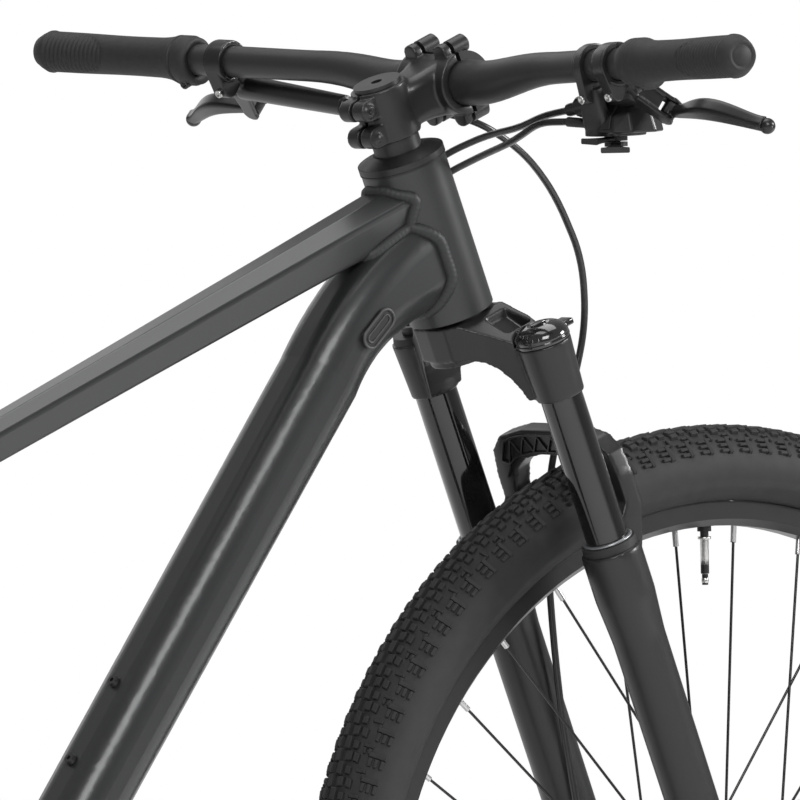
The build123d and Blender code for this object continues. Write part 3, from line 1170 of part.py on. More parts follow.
def cage_plate(near, far):
    corners = [guide_at - cage_way * 13 + cage_side * 6, guide_at - cage_way * 13 - cage_side * 6,
               guide_at - cage_side * 13, tension_at - cage_side * 9 - cage_way * 6, tension_at + cage_way * 9
               - cage_side * 6, tension_at + cage_way * 9 + cage_side * 6, tension_at + cage_side * 9
               - cage_way * 6, guide_at + cage_side * 13]
    plate = slab([(c.X, c.Z) for c in corners], Plane.XZ, near, far)
    hole = [guide_at + cage_way * 26 - cage_side * 5, guide_at + cage_way * 68 - cage_side * 4,
            guide_at + cage_way * 68 + cage_side * 4, guide_at + cage_way * 26 + cage_side * 5]
    return plate - slab([(c.X, c.Z) for c in hole], Plane.XZ, near - 1, far + 1)


cage = cage_plate(57.3, 58.8) + cage_plate(45.2, 46.7)
cage = cage + rod(cage_pivot - left * 57.3, cage_pivot - left * 58.8, 14) + rod(
    cage_pivot - left * 57.5, cage_pivot - left * 77, 5)
for centre in (guide_at, tension_at):
    cage = cage + rod(centre - left * 45.2, centre - left * 58.8, 3)
nodes["derailleur_cage"] = cage
for name, centre, index in (("lower", tension_at, 3), ("upper", guide_at, 5)):
    wheel = sprocket(jockey_teeth, seat_angle_of(index), 3 + run, 0, sprocket_thickness)
    wheel = wheel + spun([(3 + run, -5), (8, -5), (8, 5), (3 + run, 5)])
    nodes[f"jockey_{name}"] = wheel.moved(Location(centre - left * chain_line))


# --- pedals ---------------------------------------------------------------------------------------------------------
def pedal(side):
    """Platform of two rails and four ribs round the axle's barrel."""
    centre = shell_point + Vector(-side * crank_length, 0, 0)
    low, high = pedal_shoulder + 4, pedal_shoulder + pedal_width
    barrel = rod((0, side * low, 0), (0, side * (high + 4), 0), 10)
    made = barrel
    for s in (-1, 1):
        y0, y1 = sorted((side * low, side * high))
        made = made + block((min(s * 40, s * 50), y0, -7), (max(s * 40, s * 50), y1, 7))
    for y in (low, low + 28, high - 36, high - 8):
        y0, y1 = sorted((side * y, side * (y + 8)))
        made = made + block((-50, y0, -6), (50, y1, 6))
    pins = []
    for x in (-45, -15, 15, 45):
        for y in (low + 4, high - 4):
            made = made + rod((x, side * y, -9.5), (x, side * y, 9.5), 2)
    made = made - rod((0, side * (low - 1), 0), (0, side * high, 0), pedal_axle_radius + run)
    return made.moved(Location(centre))


nodes["pedal_left"] = pedal(1)
nodes["pedal_right"] = pedal(-1)

for name, shape in nodes.items():
    export_step(shape, f"parts/{name}.step")
print(len(nodes), "nodes")
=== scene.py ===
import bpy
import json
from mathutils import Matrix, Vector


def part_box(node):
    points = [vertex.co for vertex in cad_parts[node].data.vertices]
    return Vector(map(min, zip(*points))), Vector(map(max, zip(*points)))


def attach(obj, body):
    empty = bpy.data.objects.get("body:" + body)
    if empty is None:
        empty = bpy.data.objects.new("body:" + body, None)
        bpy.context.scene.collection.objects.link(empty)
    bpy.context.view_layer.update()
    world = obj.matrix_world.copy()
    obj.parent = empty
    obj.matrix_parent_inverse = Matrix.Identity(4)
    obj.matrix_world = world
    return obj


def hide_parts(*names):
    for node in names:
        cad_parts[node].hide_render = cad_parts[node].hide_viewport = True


bl_info = {
    "name": "Hardtail mountain bike",
    "version": (1, 0, 0),
    "blender": (4, 5, 0),
    "location": "3D Viewport > Sidebar > Bike",
    "description": "Dresses the bike's frame with tyres, grips, welds, saddle, finishes, stage and camera",
    "category": "Object",
}

import json
import math

import bmesh
import bpy
from bpy.props import FloatProperty, FloatVectorProperty, IntProperty, PointerProperty
from mathutils import Matrix, Vector
from mathutils.bvhtree import BVHTree

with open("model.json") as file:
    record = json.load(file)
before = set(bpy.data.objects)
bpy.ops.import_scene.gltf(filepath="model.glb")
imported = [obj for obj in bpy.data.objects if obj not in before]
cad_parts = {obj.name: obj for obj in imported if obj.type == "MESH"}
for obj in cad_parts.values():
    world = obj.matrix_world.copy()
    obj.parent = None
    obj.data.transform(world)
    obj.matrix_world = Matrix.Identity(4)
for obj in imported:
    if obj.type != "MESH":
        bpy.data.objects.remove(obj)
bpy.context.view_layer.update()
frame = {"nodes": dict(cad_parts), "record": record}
nodes = frame["nodes"]


# --- places that come from the frame --------------------------------------------------------------
def corners(node):
    """A node's lowest and highest corner as vectors."""
    low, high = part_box(node)
    return Vector(low), Vector(high)


def centre_of(node):
    low, high = corners(node)
    return (low + high) / 2


def joint_of(name):
    return next(j for j in frame["record"]["behaviour"]["joints"] if j["name"] == name)


front_axle = centre_of("front_tyre")
rear_axle = centre_of("rear_tyre")
tyre_radius = (corners("front_tyre")[1].z - corners("front_tyre")[0].z) / 2
tyre_half_width = (corners("front_tyre")[1].y - corners("front_tyre")[0].y) / 2
steer_joint = joint_of("steer")
crown_seat = Vector(steer_joint["pos_m"])
up_steering = Vector(steer_joint["axis"]).normalized()
left = Vector((0, 1, 0))
ahead = left.cross(up_steering).normalized()
leg_ahead, stanchion_radius = 0.017, 0.015
bar_end_radius = 0.01118
bar_bend_at = Vector((0.055, 0.105, 0.1640))
bar_slope = Vector((-0.1535, 1, 0.1065))
brake_clamp_y, shift_clamp_y = 0.2129, 0.1834
blade_down = ahead * 0.51 - up_steering * 0.86
blade_up = ahead * 0.86 + up_steering * 0.51
plug_at = (-0.087, 0.0311, 0.029)
plug_slope = math.radians(22)
valve_seat, valve_turns = 0.2912, {"front": math.radians(90), "rear": math.radians(205)}


def on_steering(x, y, z):
    """A point in the fork's own directions, in metres: ahead, to the left and up from the crown's seat."""
    return crown_seat + ahead * x + left * y + up_steering * z


def bar_axis(y, side):
    """A point on the bar's axis, by its distance out from the middle."""
    point = bar_bend_at + bar_slope * (y - bar_bend_at.y)
    return on_steering(point.x, side * y, point.z)


def grip_ends(side):
    """The axis of a grip: its outer end and its inner end, on the bar's straight part."""
    outer = bar_axis(0.3829, side)
    return outer, bar_axis(0.2384, side)


def leg_point(side, height):
    """A point on a fork leg's axis, by its height along the steering axis from the crown's seat."""
    low, high = corners("stanchions")
    y = (high.y - low.y) / 2 - stanchion_radius
    return on_steering(leg_ahead, side * y, height)


def corners_on_leg(side):
    """How high the seals stand along a leg, from the seals' own box."""
    middle = centre_of("fork_seals")
    return (middle - crown_seat).dot(up_steering) + 0.003


# --- mesh helpers ---------------------------------------------------------------------------------
def mesh_object(name, points, faces, smooth=True):
    """A new object from vertices and faces, its faces turned outwards."""
    mesh = bpy.data.meshes.new(name)
    mesh.from_pydata([tuple(p) for p in points], [], faces)
    shaper = bmesh.new()
    shaper.from_mesh(mesh)
    bmesh.ops.recalc_face_normals(shaper, faces=shaper.faces)
    shaper.to_mesh(mesh)
    shaper.free()
    mesh.shade_smooth() if smooth else mesh.shade_flat()
    piece = bpy.data.objects.new(name, mesh)
    bpy.context.scene.collection.objects.link(piece)
    return piece


def spun_rings(rings, closed_across, closed_round=True):
    """Points and faces of a surface through rings of points, given ring by ring."""
    count, across = len(rings), len(rings[0])
    points = [p for ring in rings for p in ring]
    faces = []
    for i in range(count if closed_round else count - 1):
        j = (i + 1) % count
        for k in range(across if closed_across else across - 1):
            m = (k + 1) % across
            faces.append((i * across + k, i * across + m, j * across + m, j * across + k))
    return points, faces


def cap(faces, start, count, flip=False):
    ring = list(range(start, start + count))
    faces.append(tuple(reversed(ring)) if flip else tuple(ring))


def turned(name, origin, along, profile, segments=96, closed=True):
    """A body turned about an axis from (distance along it, radius) pairs."""
    along = along.normalized()
    side = along.orthogonal().normalized()
    other = along.cross(side)
    rings = []
    for i in range(segments):
        a = 2 * math.pi * i / segments
        out = side * math.cos(a) + other * math.sin(a)
        rings.append([origin + along * d + out * r for d, r in profile])
    points, faces = spun_rings(rings, closed)
    return mesh_object(name, points, faces)


def joined(name, pieces):
    """One object made of several, whose meshes are moved into it."""
    shaper = bmesh.new()
    for piece in pieces:
        shaper.from_mesh(piece.data)
    mesh = bpy.data.meshes.new(name)
    shaper.to_mesh(mesh)
    shaper.free()
    for piece in pieces:
        bpy.data.objects.remove(piece)
    whole = bpy.data.objects.new(name, mesh)
    bpy.context.scene.collection.objects.link(whole)
    return whole


def dressed(piece, material):
    piece.data.materials.clear()
    piece.data.materials.append(material)
    return piece


def bevelled(piece, width, segments=2, angle=40):
    """Rounds a piece's sharp edges for good."""
    modifier = piece.modifiers.new("rounding", "BEVEL")
    modifier.width, modifier.segments = width, segments
    modifier.limit_method, modifier.angle_limit = "ANGLE", math.radians(angle)
    apply_modifiers(piece)
    return piece


def apply_modifiers(piece):
    graph = bpy.context.evaluated_depsgraph_get()
    mesh = bpy.data.meshes.new_from_object(piece.evaluated_get(graph))
    piece.modifiers.clear()
    piece.data = mesh


def solid_rod(low, high, radius, segments=48):
    """A closed cylinder between two points."""
    length = (high - low).length
    profile = [(0, 0.00001), (0, radius), (length, radius), (length, 0.00001)]
    return turned("rod", low, high - low, profile, segments)


def box_between(name, start, end, normal, width, height):
    """A bar with a rectangular section from start to end, standing on a surface with that normal."""
    along = (end - start).normalized()
    normal = (normal - along * normal.dot(along)).normalized()
    side = along.cross(normal) * width / 2
    foot, top = normal * -0.0006, normal * height
    points = [p + s + lift for p in (start, end) for lift in (foot, top) for s in (-side, side)]
    faces = [(0, 1, 3, 2), (4, 6, 7, 5), (0, 4, 5, 1), (2, 3, 7, 6), (0, 2, 6, 4), (1, 5, 7, 3)]
    return mesh_object(name, points, faces, False)


def screw_head(name, at, along, radius, height, socket=0.55):
    """A round screw head with a six-sided socket, facing along."""
    along = along.normalized()
    side = along.orthogonal().normalized()
    other = along.cross(side)
    rings, count = [], 24

    def ring(d, r, six=False):
        points = []
        for i in range(count):
            a = 2 * math.pi * i / count
            reach = r / math.cos((a + math.pi / 6) % (math.pi / 3) - math.pi / 6) if six else r
            points.append(at + along * d + (side * math.cos(a) + other * math.sin(a)) * reach)
        return points

    for d, r, six in ((0, 0.0001, False), (0, radius, False), (height - 0.0004, radius, False),
                      (height, radius - 0.0004, False), (height, radius * socket * 0.9, True),
                      (height - 0.0022, radius * socket * 0.86, True), (height - 0.0022, 0.0001, False)):
        rings.append(ring(d, r, six))
    points, faces = spun_rings(rings, True, False)
    return mesh_object(name, points, faces)


def faceted(name, corners_of_it, edge):
    """The hull of a few corners, its edges rounded."""
    shaper = bmesh.new()
    for corner in corners_of_it:
        shaper.verts.new(corner)
    bmesh.ops.convex_hull(shaper, input=shaper.verts)
    bmesh.ops.dissolve_limit(shaper, angle_limit=math.radians(3), verts=shaper.verts, edges=shaper.edges)
    mesh = bpy.data.meshes.new(name)
    shaper.to_mesh(mesh)
    shaper.free()
    piece = bpy.data.objects.new(name, mesh)
    bpy.context.scene.collection.objects.link(piece)
    return bevelled(piece, edge, 3, 12)


def merged_mesh(node):
    """A CAD node's triangles with their shared corners joined, as a bmesh."""
    shaper = bmesh.new()
    shaper.from_mesh(nodes[node].data)
    bmesh.ops.remove_doubles(shaper, verts=shaper.verts, dist=0.000004)
    return shaper


def softened(name, node, grain, passes, kept=0.4, added=()):
    """A node's shape as a forging or moulding with rounded edges: remeshed, smoothed and thinned out."""
    shaper = merged_mesh(node)
    for piece in added:
        shaper.from_mesh(piece.data)
        bpy.data.objects.remove(piece)
    mesh = bpy.data.meshes.new(name)
    shaper.to_mesh(mesh)
    shaper.free()
    piece = bpy.data.objects.new(name, mesh)
    bpy.context.scene.collection.objects.link(piece)
    remesh = piece.modifiers.new("remesh", "REMESH")
    remesh.mode, remesh.voxel_size = "VOXEL", grain
    smooth = piece.modifiers.new("smooth", "SMOOTH")
    smooth.factor, smooth.iterations = 0.5, passes
    thin = piece.modifiers.new("thin", "DECIMATE")
    thin.ratio = kept
    apply_modifiers(piece)
    piece.data.shade_smooth()
    return piece


def swept(name, path, radius, ripple=0.0, pitch=0.0025, sides=12, closed=False):
    """A round bead along a path of points, its radius rippled along its length."""
    rings, run = [], 0.0
    count = len(path)
    for i, point in enumerate(path):
        before = path[i - 1] if i or closed else path[0]
        after = path[(i + 1) % count] if i + 1 < count or closed else path[-1]
        along = (after - before).normalized()
        side = along.orthogonal().normalized() if i == 0 else (side - along * side.dot(along)).normalized()
        other = along.cross(side)
        run += (point - path[i - 1]).length if i else 0
        wave = radius * (1 + ripple * math.sin(2 * math.pi * run / pitch))
        rings.append([point + (side * math.cos(a) + other * math.sin(a)) * wave
                      for a in (2 * math.pi * k / sides for k in range(sides))])
    points, faces = spun_rings(rings, True, closed)
    if not closed:
        cap(faces, 0, sides)
        cap(faces, (count - 1) * sides, sides, True)
    return mesh_object(name, points, faces)


def resampled(path, step, closed):
    """The same path at even distances."""
    ends = path + path[:1] if closed else path
    lengths = [(b - a).length for a, b in zip(ends, ends[1:])]
    total = sum(lengths)
    wanted = max(8, round(total / step))
    out, i, passed = [], 0, 0.0
    for k in range(wanted if closed else wanted + 1):
        target = total * k / wanted
        while i < len(lengths) - 1 and passed + lengths[i] < target:
            passed += lengths[i]
            i += 1
        out.append(ends[i].lerp(ends[i + 1], min(1, (target - passed) / max(lengths[i], 1e-9))))
    return out


def seams(node, other, reach=0.0006):
    """The closed lines where a node's cut end lies on another node, as lists of points."""
    shaper, target = merged_mesh(node), merged_mesh(other)
    tree = BVHTree.FromBMesh(target)
    near = {v: (tree.find_nearest(v.co)[3] or 1) < reach for v in shaper.verts}
    lying = {f for f in shaper.faces if all(near[v] for v in f.verts)
             and tree.find_nearest(f.calc_center_median())[3] < reach * 1.5}
    links = {}
    for edge in shaper.edges:
        if len(edge.link_faces) == 2 and (edge.link_faces[0] in lying) != (edge.link_faces[1] in lying):
            a, b = edge.verts
            links.setdefault(a, []).append(b)
            links.setdefault(b, []).append(a)
    found, seen = [], set()
    for start in links:
        if start in seen:
            continue
        chain, here = [start], start
        seen.add(start)
        while True:
            onward = [v for v in links[here] if v not in seen]
            if not onward:
                break
            here = onward[0]
            seen.add(here)
            chain.append(here)
        if len(chain) > 8:
            found.append(([v.co.copy() for v in chain], chain[0] in links[chain[-1]]))
    shaper.free()
    target.free()
    return found


def clamp_strap(name, y, side, half, reach, drop):
    """A bar clamp, a band round the bar that narrows to its bolt behind and below."""
    centre = bar_axis(y, side)
    along = (bar_axis(y + 0.01, side) - centre).normalized()
    tip = Vector((-reach, -drop))
    outer, small, bore = 0.0152, 0.0052, bar_end_radius
    heading = math.atan2(tip.y, tip.x)
    spread = math.acos((outer - small) / tip.length)
    outline = []
    for i in range(33):
        a = heading + spread + (2 * math.pi - 2 * spread) * i / 32
        outline.append((outer * math.cos(a), outer * math.sin(a)))
    for i in range(13):
        a = heading - spread + 2 * spread * i / 12
        outline.append((tip.x + small * math.cos(a), tip.y + small * math.sin(a)))
    hole = []
    for x, z in outline:
        a = math.atan2(z, x)
        hole.append((bore * math.cos(a), bore * math.sin(a)))
    rings = []
    for flat, s in ((hole, -1), (outline, -1), (outline, 1), (hole, 1)):
        rings.append([centre + ahead * x + up_steering * z + along * half * s for x, z in flat])
    points, faces = spun_rings(rings, True)
    strap = bevelled(mesh_object(name, points, faces, False), 0.0009, 3, 30)
    bolt = screw_head("bolt", centre + ahead * (tip.x - 0.0046) + up_steering * tip.y, -ahead, 0.0030, 0.0030)
    return strap, bolt


# --- shader helpers -------------------------------------------------------------------------------
class Wire:
    """One socket of a material's nodes. Arithmetic on it adds Math nodes."""

    def __init__(self, tree, socket):
        self.tree, self.socket = tree, socket

    def node(self, kind, settings=None, inputs=None, output=0):
        """Adds a node: its settings first, then the values or links of its sockets."""
        made = self.tree.nodes.new(kind)
        for key, value in (settings or {}).items():
            setattr(made, key, value)
        for key, value in (inputs or {}).items():
            if isinstance(value, Wire):
                self.tree.links.new(value.socket, made.inputs[key])
            elif value is not None:
                made.inputs[key].default_value = value
        return Wire(self.tree, made.outputs[output])

    def maths(self, operation, a, b=None):
        return self.node("ShaderNodeMath", {"operation": operation}, {0: a, 1: b})

    def __add__(self, other):
        return self.maths("ADD", self, other)

    def __radd__(self, other):
        return self.maths("ADD", other, self)

    def __sub__(self, other):
        return self.maths("SUBTRACT", self, other)

    def __rsub__(self, other):
        return self.maths("SUBTRACT", other, self)

    def __mul__(self, other):
        return self.maths("MULTIPLY", self, other)

    def __rmul__(self, other):
        return self.maths("MULTIPLY", other, self)

    def __truediv__(self, other):
        return self.maths("DIVIDE", self, other)

    def __pow__(self, other):
        return self.maths("POWER", self, other)

    def __gt__(self, other):
        return self.maths("GREATER_THAN", self, other)

    def __lt__(self, other):
        return self.maths("LESS_THAN", self, other)

    def noise(self, scale, detail=3.0, roughness=0.5, stretch=None):
        """Noise on this vector, drawn out along an axis where stretch is given."""
        vector = self
        if stretch is not None:
            vector = self.node("ShaderNodeMapping", None, {"Vector": self, "Scale": stretch})
        return self.node("ShaderNodeTexNoise", None,
                         {"Vector": vector, "Scale": scale, "Detail": detail, "Roughness": roughness})

    def blend(self, low, high):
        """A colour between two, by this factor."""
        return self.node("ShaderNodeMix", {"data_type": "RGBA"},
                         {"Factor": self, "A": colour4(low), "B": colour4(high)}, output=2)

    def bump(self, distance, strength=1.0):
        return self.node("ShaderNodeBump", None,
                         {"Height": self, "Distance": distance, "Strength": strength})


def colour4(value):
    return value if isinstance(value, Wire) or len(value) == 4 else (*value, 1.0)


def surface(name, base, roughness=0.5, metallic=0.0, coat=0.0, coat_roughness=0.1, normal=None, sheen=0.0,
            specular=0.5):
    """A material whose sockets are values, or functions of the object's own coordinates."""
    material = bpy.data.materials.new(name)
    material.use_nodes = True
    tree = material.node_tree
    shader = tree.nodes["Principled BSDF"]
    start = Wire(tree, shader.outputs[0])
    place = start.node("ShaderNodeTexCoord", output=3)
    wanted = {"Base Color": base, "Roughness": roughness, "Metallic": metallic, "Coat Weight": coat,
              "Normal": normal}
    for key, value in wanted.items():
        if value is None:
            continue
        value = value(place) if callable(value) else value
        if isinstance(value, Wire):
            tree.links.new(value.socket, shader.inputs[key])
        else:
            shader.inputs[key].default_value = colour4(value) if key == "Base Color" else value
    shader.inputs["Coat Roughness"].default_value = coat_roughness
    shader.inputs["Sheen Weight"].default_value = sheen
    shader.inputs["Specular IOR Level"].default_value = specular
    return material


def round_axle(place, axle):
    """The distance from a wheel's axle, along Y, of a point in object coordinates."""
    moved = place.node("ShaderNodeVectorMath", {"operation": "SUBTRACT"}, {0: place, 1: tuple(axle)})
    split = place.tree.nodes.new("ShaderNodeSeparateXYZ")
    place.tree.links.new(moved.socket, split.inputs[0])
    x, z = Wire(place.tree, split.outputs[0]), Wire(place.tree, split.outputs[2])
    return (x * x + z * z) ** 0.5


# --- finishes -------------------------------------------------------------------------------------
def frame_paint(colour):
    return surface(
        "frame paint",
        lambda p: p.noise(2600, 2).blend([c * 0.82 for c in colour], [c * 1.25 for c in colour]),
        lambda p: p.noise(14, 4) * 0.08 + 0.30, 0.35, 0.35, 0.18,
        lambda p: (p.noise(900, 2) * 0.6).bump(0.00004, 0.25))


def satin_black(name="satin black alloy", level=0.016, rough=0.38):
    return surface(
        name,
        lambda p: p.noise(1800, 3).blend((level * 0.8,) * 3, (level * 1.4,) * 3),
        lambda p: p.noise(60, 5) * 0.10 + (rough - 0.05), 0.2, 0.15, 0.3,
        lambda p: p.noise(2200, 3).bump(0.00003, 0.35))


def gloss_black(name="gloss black", level=0.010):
    return surface(
        name, lambda p: p.noise(40, 4).blend((level * 0.8,) * 3, (level * 1.3,) * 3),
        lambda p: p.noise(9, 3) * 0.05 + 0.10, 0.0, 0.9, 0.04,
        lambda p: p.noise(55, 3).bump(0.00003, 0.15))


def stanchion_finish():
    return surface("stanchion black", lambda p: p.noise(90, 3).blend((0.012,) * 3, (0.02,) * 3),
                   lambda p: p.noise(180, 3, stretch=(1, 1, 0.05)) * 0.05 + 0.07, 0.6, 1.0, 0.03)


def tyre_rubber(name="tyre rubber", level=0.021):
    return surface(
        name,
        lambda p: p.noise(70, 6).blend((level * 0.7,) * 3, (level * 1.35,) * 3),
        lambda p: p.noise(120, 4) * 0.15 + 0.62, 0.0, 0.0, 0.3,
        lambda p: (p.noise(1500, 4) * 0.7 + p.noise(260, 2) * 0.3).bump(0.0002, 0.45), specular=0.4)


def grip_rubber(level=0.018):
    return surface(
        "grip rubber",
        lambda p: p.noise(300, 4).blend((level * 0.7,) * 3, (level * 1.4,) * 3),
        lambda p: p.noise(200, 4) * 0.12 + 0.58, 0.0, 0.0, 0.3,
        lambda p: p.noise(2400, 3).bump(0.00012, 0.5))


def plain_plastic(name="black plastic", level=0.02, rough=0.45):
    return surface(
        name, lambda p: p.noise(500, 3).blend((level * 0.8,) * 3, (level * 1.3,) * 3),
        lambda p: p.noise(160, 3) * 0.1 + (rough - 0.05), 0.0, 0.0, 0.3,
        lambda p: p.noise(1600, 3).bump(0.00008, 0.4))


def hose_finish():
    return surface("hose black", lambda p: p.noise(400, 3).blend((0.008,) * 3, (0.016,) * 3),
                   lambda p: p.noise(220, 3) * 0.1 + 0.28, 0.0, 0.3, 0.2)


def steel(name, level, rough, axle=None):
    """Bare steel, brushed round an axle where one is given."""
    def shade(p):
        mask = p.noise(700, 5)
        if axle is not None:
            mask = round_axle(p, axle).node("ShaderNodeTexNoise", {"noise_dimensions": "1D"},
                                            {"W": round_axle(p, axle), "Scale": 2600, "Detail": 3})
        return mask.blend((level * 0.75,) * 3, (level * 1.2, level * 1.19, level * 1.16))

    return surface(name, shade, lambda p: p.noise(300, 4) * 0.12 + rough, 1.0, 0.0, 0.2,
                   lambda p: p.noise(1500, 3).bump(0.00003, 0.3))


def two_tone(name, axle, from_radius, inner_level, outer_level, inner_metal=1.0, outer_metal=1.0, rough=0.3):
    """One finish inside a radius about an axle and another outside it, as on spokes with bright nipples."""
    def outside(p):
        return round_axle(p, axle) > from_radius

    return surface(
        name,
        lambda p: outside(p).blend((inner_level,) * 3, (outer_level,) * 3),
        lambda p: p.noise(400, 3) * 0.1 + (rough - 0.05),
        lambda p: outside(p) * (outer_metal - inner_metal) + inner_metal)


def saddle_fabric():
    return surface(
        "saddle cover",
        lambda p: p.noise(500, 5).blend((0.012,) * 3, (0.03,) * 3),
        lambda p: p.noise(150, 4) * 0.12 + 0.55, 0.0, 0.0, 0.3,
        lambda p: p.node("ShaderNodeTexVoronoi", {"feature": "DISTANCE_TO_EDGE"},
                         {"Vector": p, "Scale": 620}).bump(0.0003, 0.35), sheen=0.15)


# --- settings -------------------------------------------------------------------------------------
class TyreSettings(bpy.types.PropertyGroup):
    pitches: IntProperty(name="Tread repeats", description="How often the tread repeats round the tyre",
                         default=122, min=60, max=160)
    knob_height: FloatProperty(name="Knob height", description="How far the tread blocks stand out",
                               default=0.0036, min=0.002, max=0.005, unit="LENGTH")


class PaintSettings(bpy.types.PropertyGroup):
    frame_colour: FloatVectorProperty(name="Frame", description="Colour of the frame's satin paint",
                                      default=(0.0300, 0.0308, 0.0318), subtype="COLOR", min=0, max=1)


class GripSettings(bpy.types.PropertyGroup):
    ribs: IntProperty(name="Ribs", description="Ribs across the panel at each grip's end",
                      default=14, min=4, max=30)
    rib_depth: FloatProperty(name="Rib depth", description="Depth of the grooves between ribs",
                             default=0.0011, min=0.0002, max=0.002, unit="LENGTH")


class WeldSettings(bpy.types.PropertyGroup):
    bead_radius: FloatProperty(name="Bead", description="Radius of a weld bead", default=0.0046,
                               min=0.001, max=0.006, unit="LENGTH")
    ripple: FloatProperty(name="Ripple", description="Distance between a bead's ripples", default=0.0034,
                          min=0.001, max=0.006, unit="LENGTH")


class ForgedSettings(bpy.types.PropertyGroup):
    grain: FloatProperty(name="Grain", description="Finest detail of the forged and moulded pieces",
                         default=0.0009, min=0.0004, max=0.003, unit="LENGTH")
    rounding: IntProperty(name="Rounding", description="How far their edges are worn round",
                          default=4, min=0, max=20)


class SaddleSettings(bpy.types.PropertyGroup):
    groove: FloatProperty(name="Groove", description="Depth of the saddle's middle channel", default=0.0030,
                          min=0.0, max=0.006, unit="LENGTH")
    stitch: FloatProperty(name="Stitch", description="Length of one stitch of its seams", default=0.0034,
                          min=0.002, max=0.008, unit="LENGTH")


# --- tyres ----------------------------------------------------------------------------------------
def tyre_point(axle, section_centre, theta, psi, height, casing):
    """A point on the casing: theta round the wheel, psi across the tread, height above the casing."""
    radius = section_centre + (casing + height) * math.cos(psi)
    y = (casing + height) * math.sin(psi)
    return axle + Vector((radius * math.cos(theta), y, radius * math.sin(theta)))


def knob(axle, section_centre, casing, theta, psi, length, width, height, skew=0.0, taper=0.82):
    """A tapered block on the casing with a slight slope down to its back edge."""
    points = []
    sink = 0.0012
    for lift, grow in ((-sink, 1.12), (height, taper)):
        for a, b in ((-1, -1), (1, -1), (1, 1), (-1, 1)):
            along = a * length / 2 * grow / (section_centre + casing)
            across = b * width / 2 * grow / casing
            low = lift - (0.0006 if a > 0 and lift > 0 else 0)
            turn = theta + along + skew * b * width
            points.append(tyre_point(axle, section_centre, turn, psi + across, low, casing))
    faces = [(3, 2, 1, 0), (4, 5, 6, 7), (0, 1, 5, 4), (1, 2, 6, 5), (2, 3, 7, 6), (3, 0, 4, 7)]
    return points, faces


def build_tyre(which, axle, settings):
    casing = tyre_half_width - 0.0016
    section_centre = tyre_radius - settings.knob_height - casing
    rim_edge = 0.3168
    bead = math.acos(max(-1, min(1, (rim_edge - section_centre) / casing)))
    rings, count, across = [], 288, 56
    for i in range(count):
        theta = 2 * math.pi * i / count
        ring = []
        for k in range(across + 1):
            psi = -bead + 2 * bead * k / across
            lift = 0.0005 if abs(psi) < 0.53 else 0.0
            if abs(abs(psi) - 2.02) < 0.05:
                lift = 0.0006
            ring.append(tyre_point(axle, section_centre, theta, psi, lift, casing))
        for k in range(across, -1, -1):
            psi = (-bead + 2 * bead * k / across) * 0.985
            ring.append(tyre_point(axle, section_centre, theta, psi, -0.0034, casing))
        rings.append(ring)
    points, faces = spun_rings(rings, True)
    shell = mesh_object(f"{which}_tyre_casing", points, faces)
    points, faces = [], []
    height = settings.knob_height
    step = 2 * math.pi / settings.pitches

    def add(theta, psi, length, width, tall, skew=0.0, taper=0.84):
        new, ring = knob(axle, section_centre, casing, theta, psi, length, width, tall, skew, taper)
        base = len(points)
        points.extend(new)
        faces.extend([tuple(base + i for i in face) for face in ring])

    def add_pronged(theta, psi, length, width, tall, prongs):
        """A spine across the tread with prongs that point round the wheel."""
        turn = length / (section_centre + casing)
        add(theta - turn * 0.34, psi, length * 0.34, width, tall, 0, 0.9)
        for p in range(prongs):
            share = (p + 0.5) / prongs - 0.5 if prongs > 1 else 0.36
            aside = math.copysign(1, psi) * share * width * 0.98 / casing
            add(theta + turn * 0.18, psi + aside, length * 0.66, width / max(prongs, 2) * 0.62, tall * 0.9,
                0, 0.86)

    for i in range(settings.pitches):
        theta = i * step
        for s in (-1, 1):
            half = 0.5 * step if s > 0 else 0
            odd = i % 2
            add(theta + half, s * 0.10, 0.0100, 0.0052, height, 0.15 * s)
            inner = s * (0.22 if odd else 0.25)
            add(theta + half + step * 0.5, inner, 0.0072, 0.0050, height * 0.98, -0.2 * s)
            add(theta + half + step * 0.05, s * 0.335, 0.0058, 0.0042, height * 0.95)
            add(theta + half + step * 0.52, s * 0.44, 0.0068, 0.0044, height * 0.90, 0.25 * s)
            add_pronged(theta + half + step * 0.10, s * 0.64, 0.0072, 0.0070, height * 0.70, 1 if odd else 2)
            add_pronged(theta + half + step * 0.45, s * 0.93, 0.0104, 0.0128, height * 0.78, 3)
    tread = mesh_object(f"{which}_tread_knobs", points, faces, smooth=False)
    bevelled(tread, 0.00035, 1)
    for piece in (shell, tread):
        dressed(piece, bpy.data.materials["tyre rubber"])
        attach(piece, f"{which}_wheel")
    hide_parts(f"{which}_tyre")


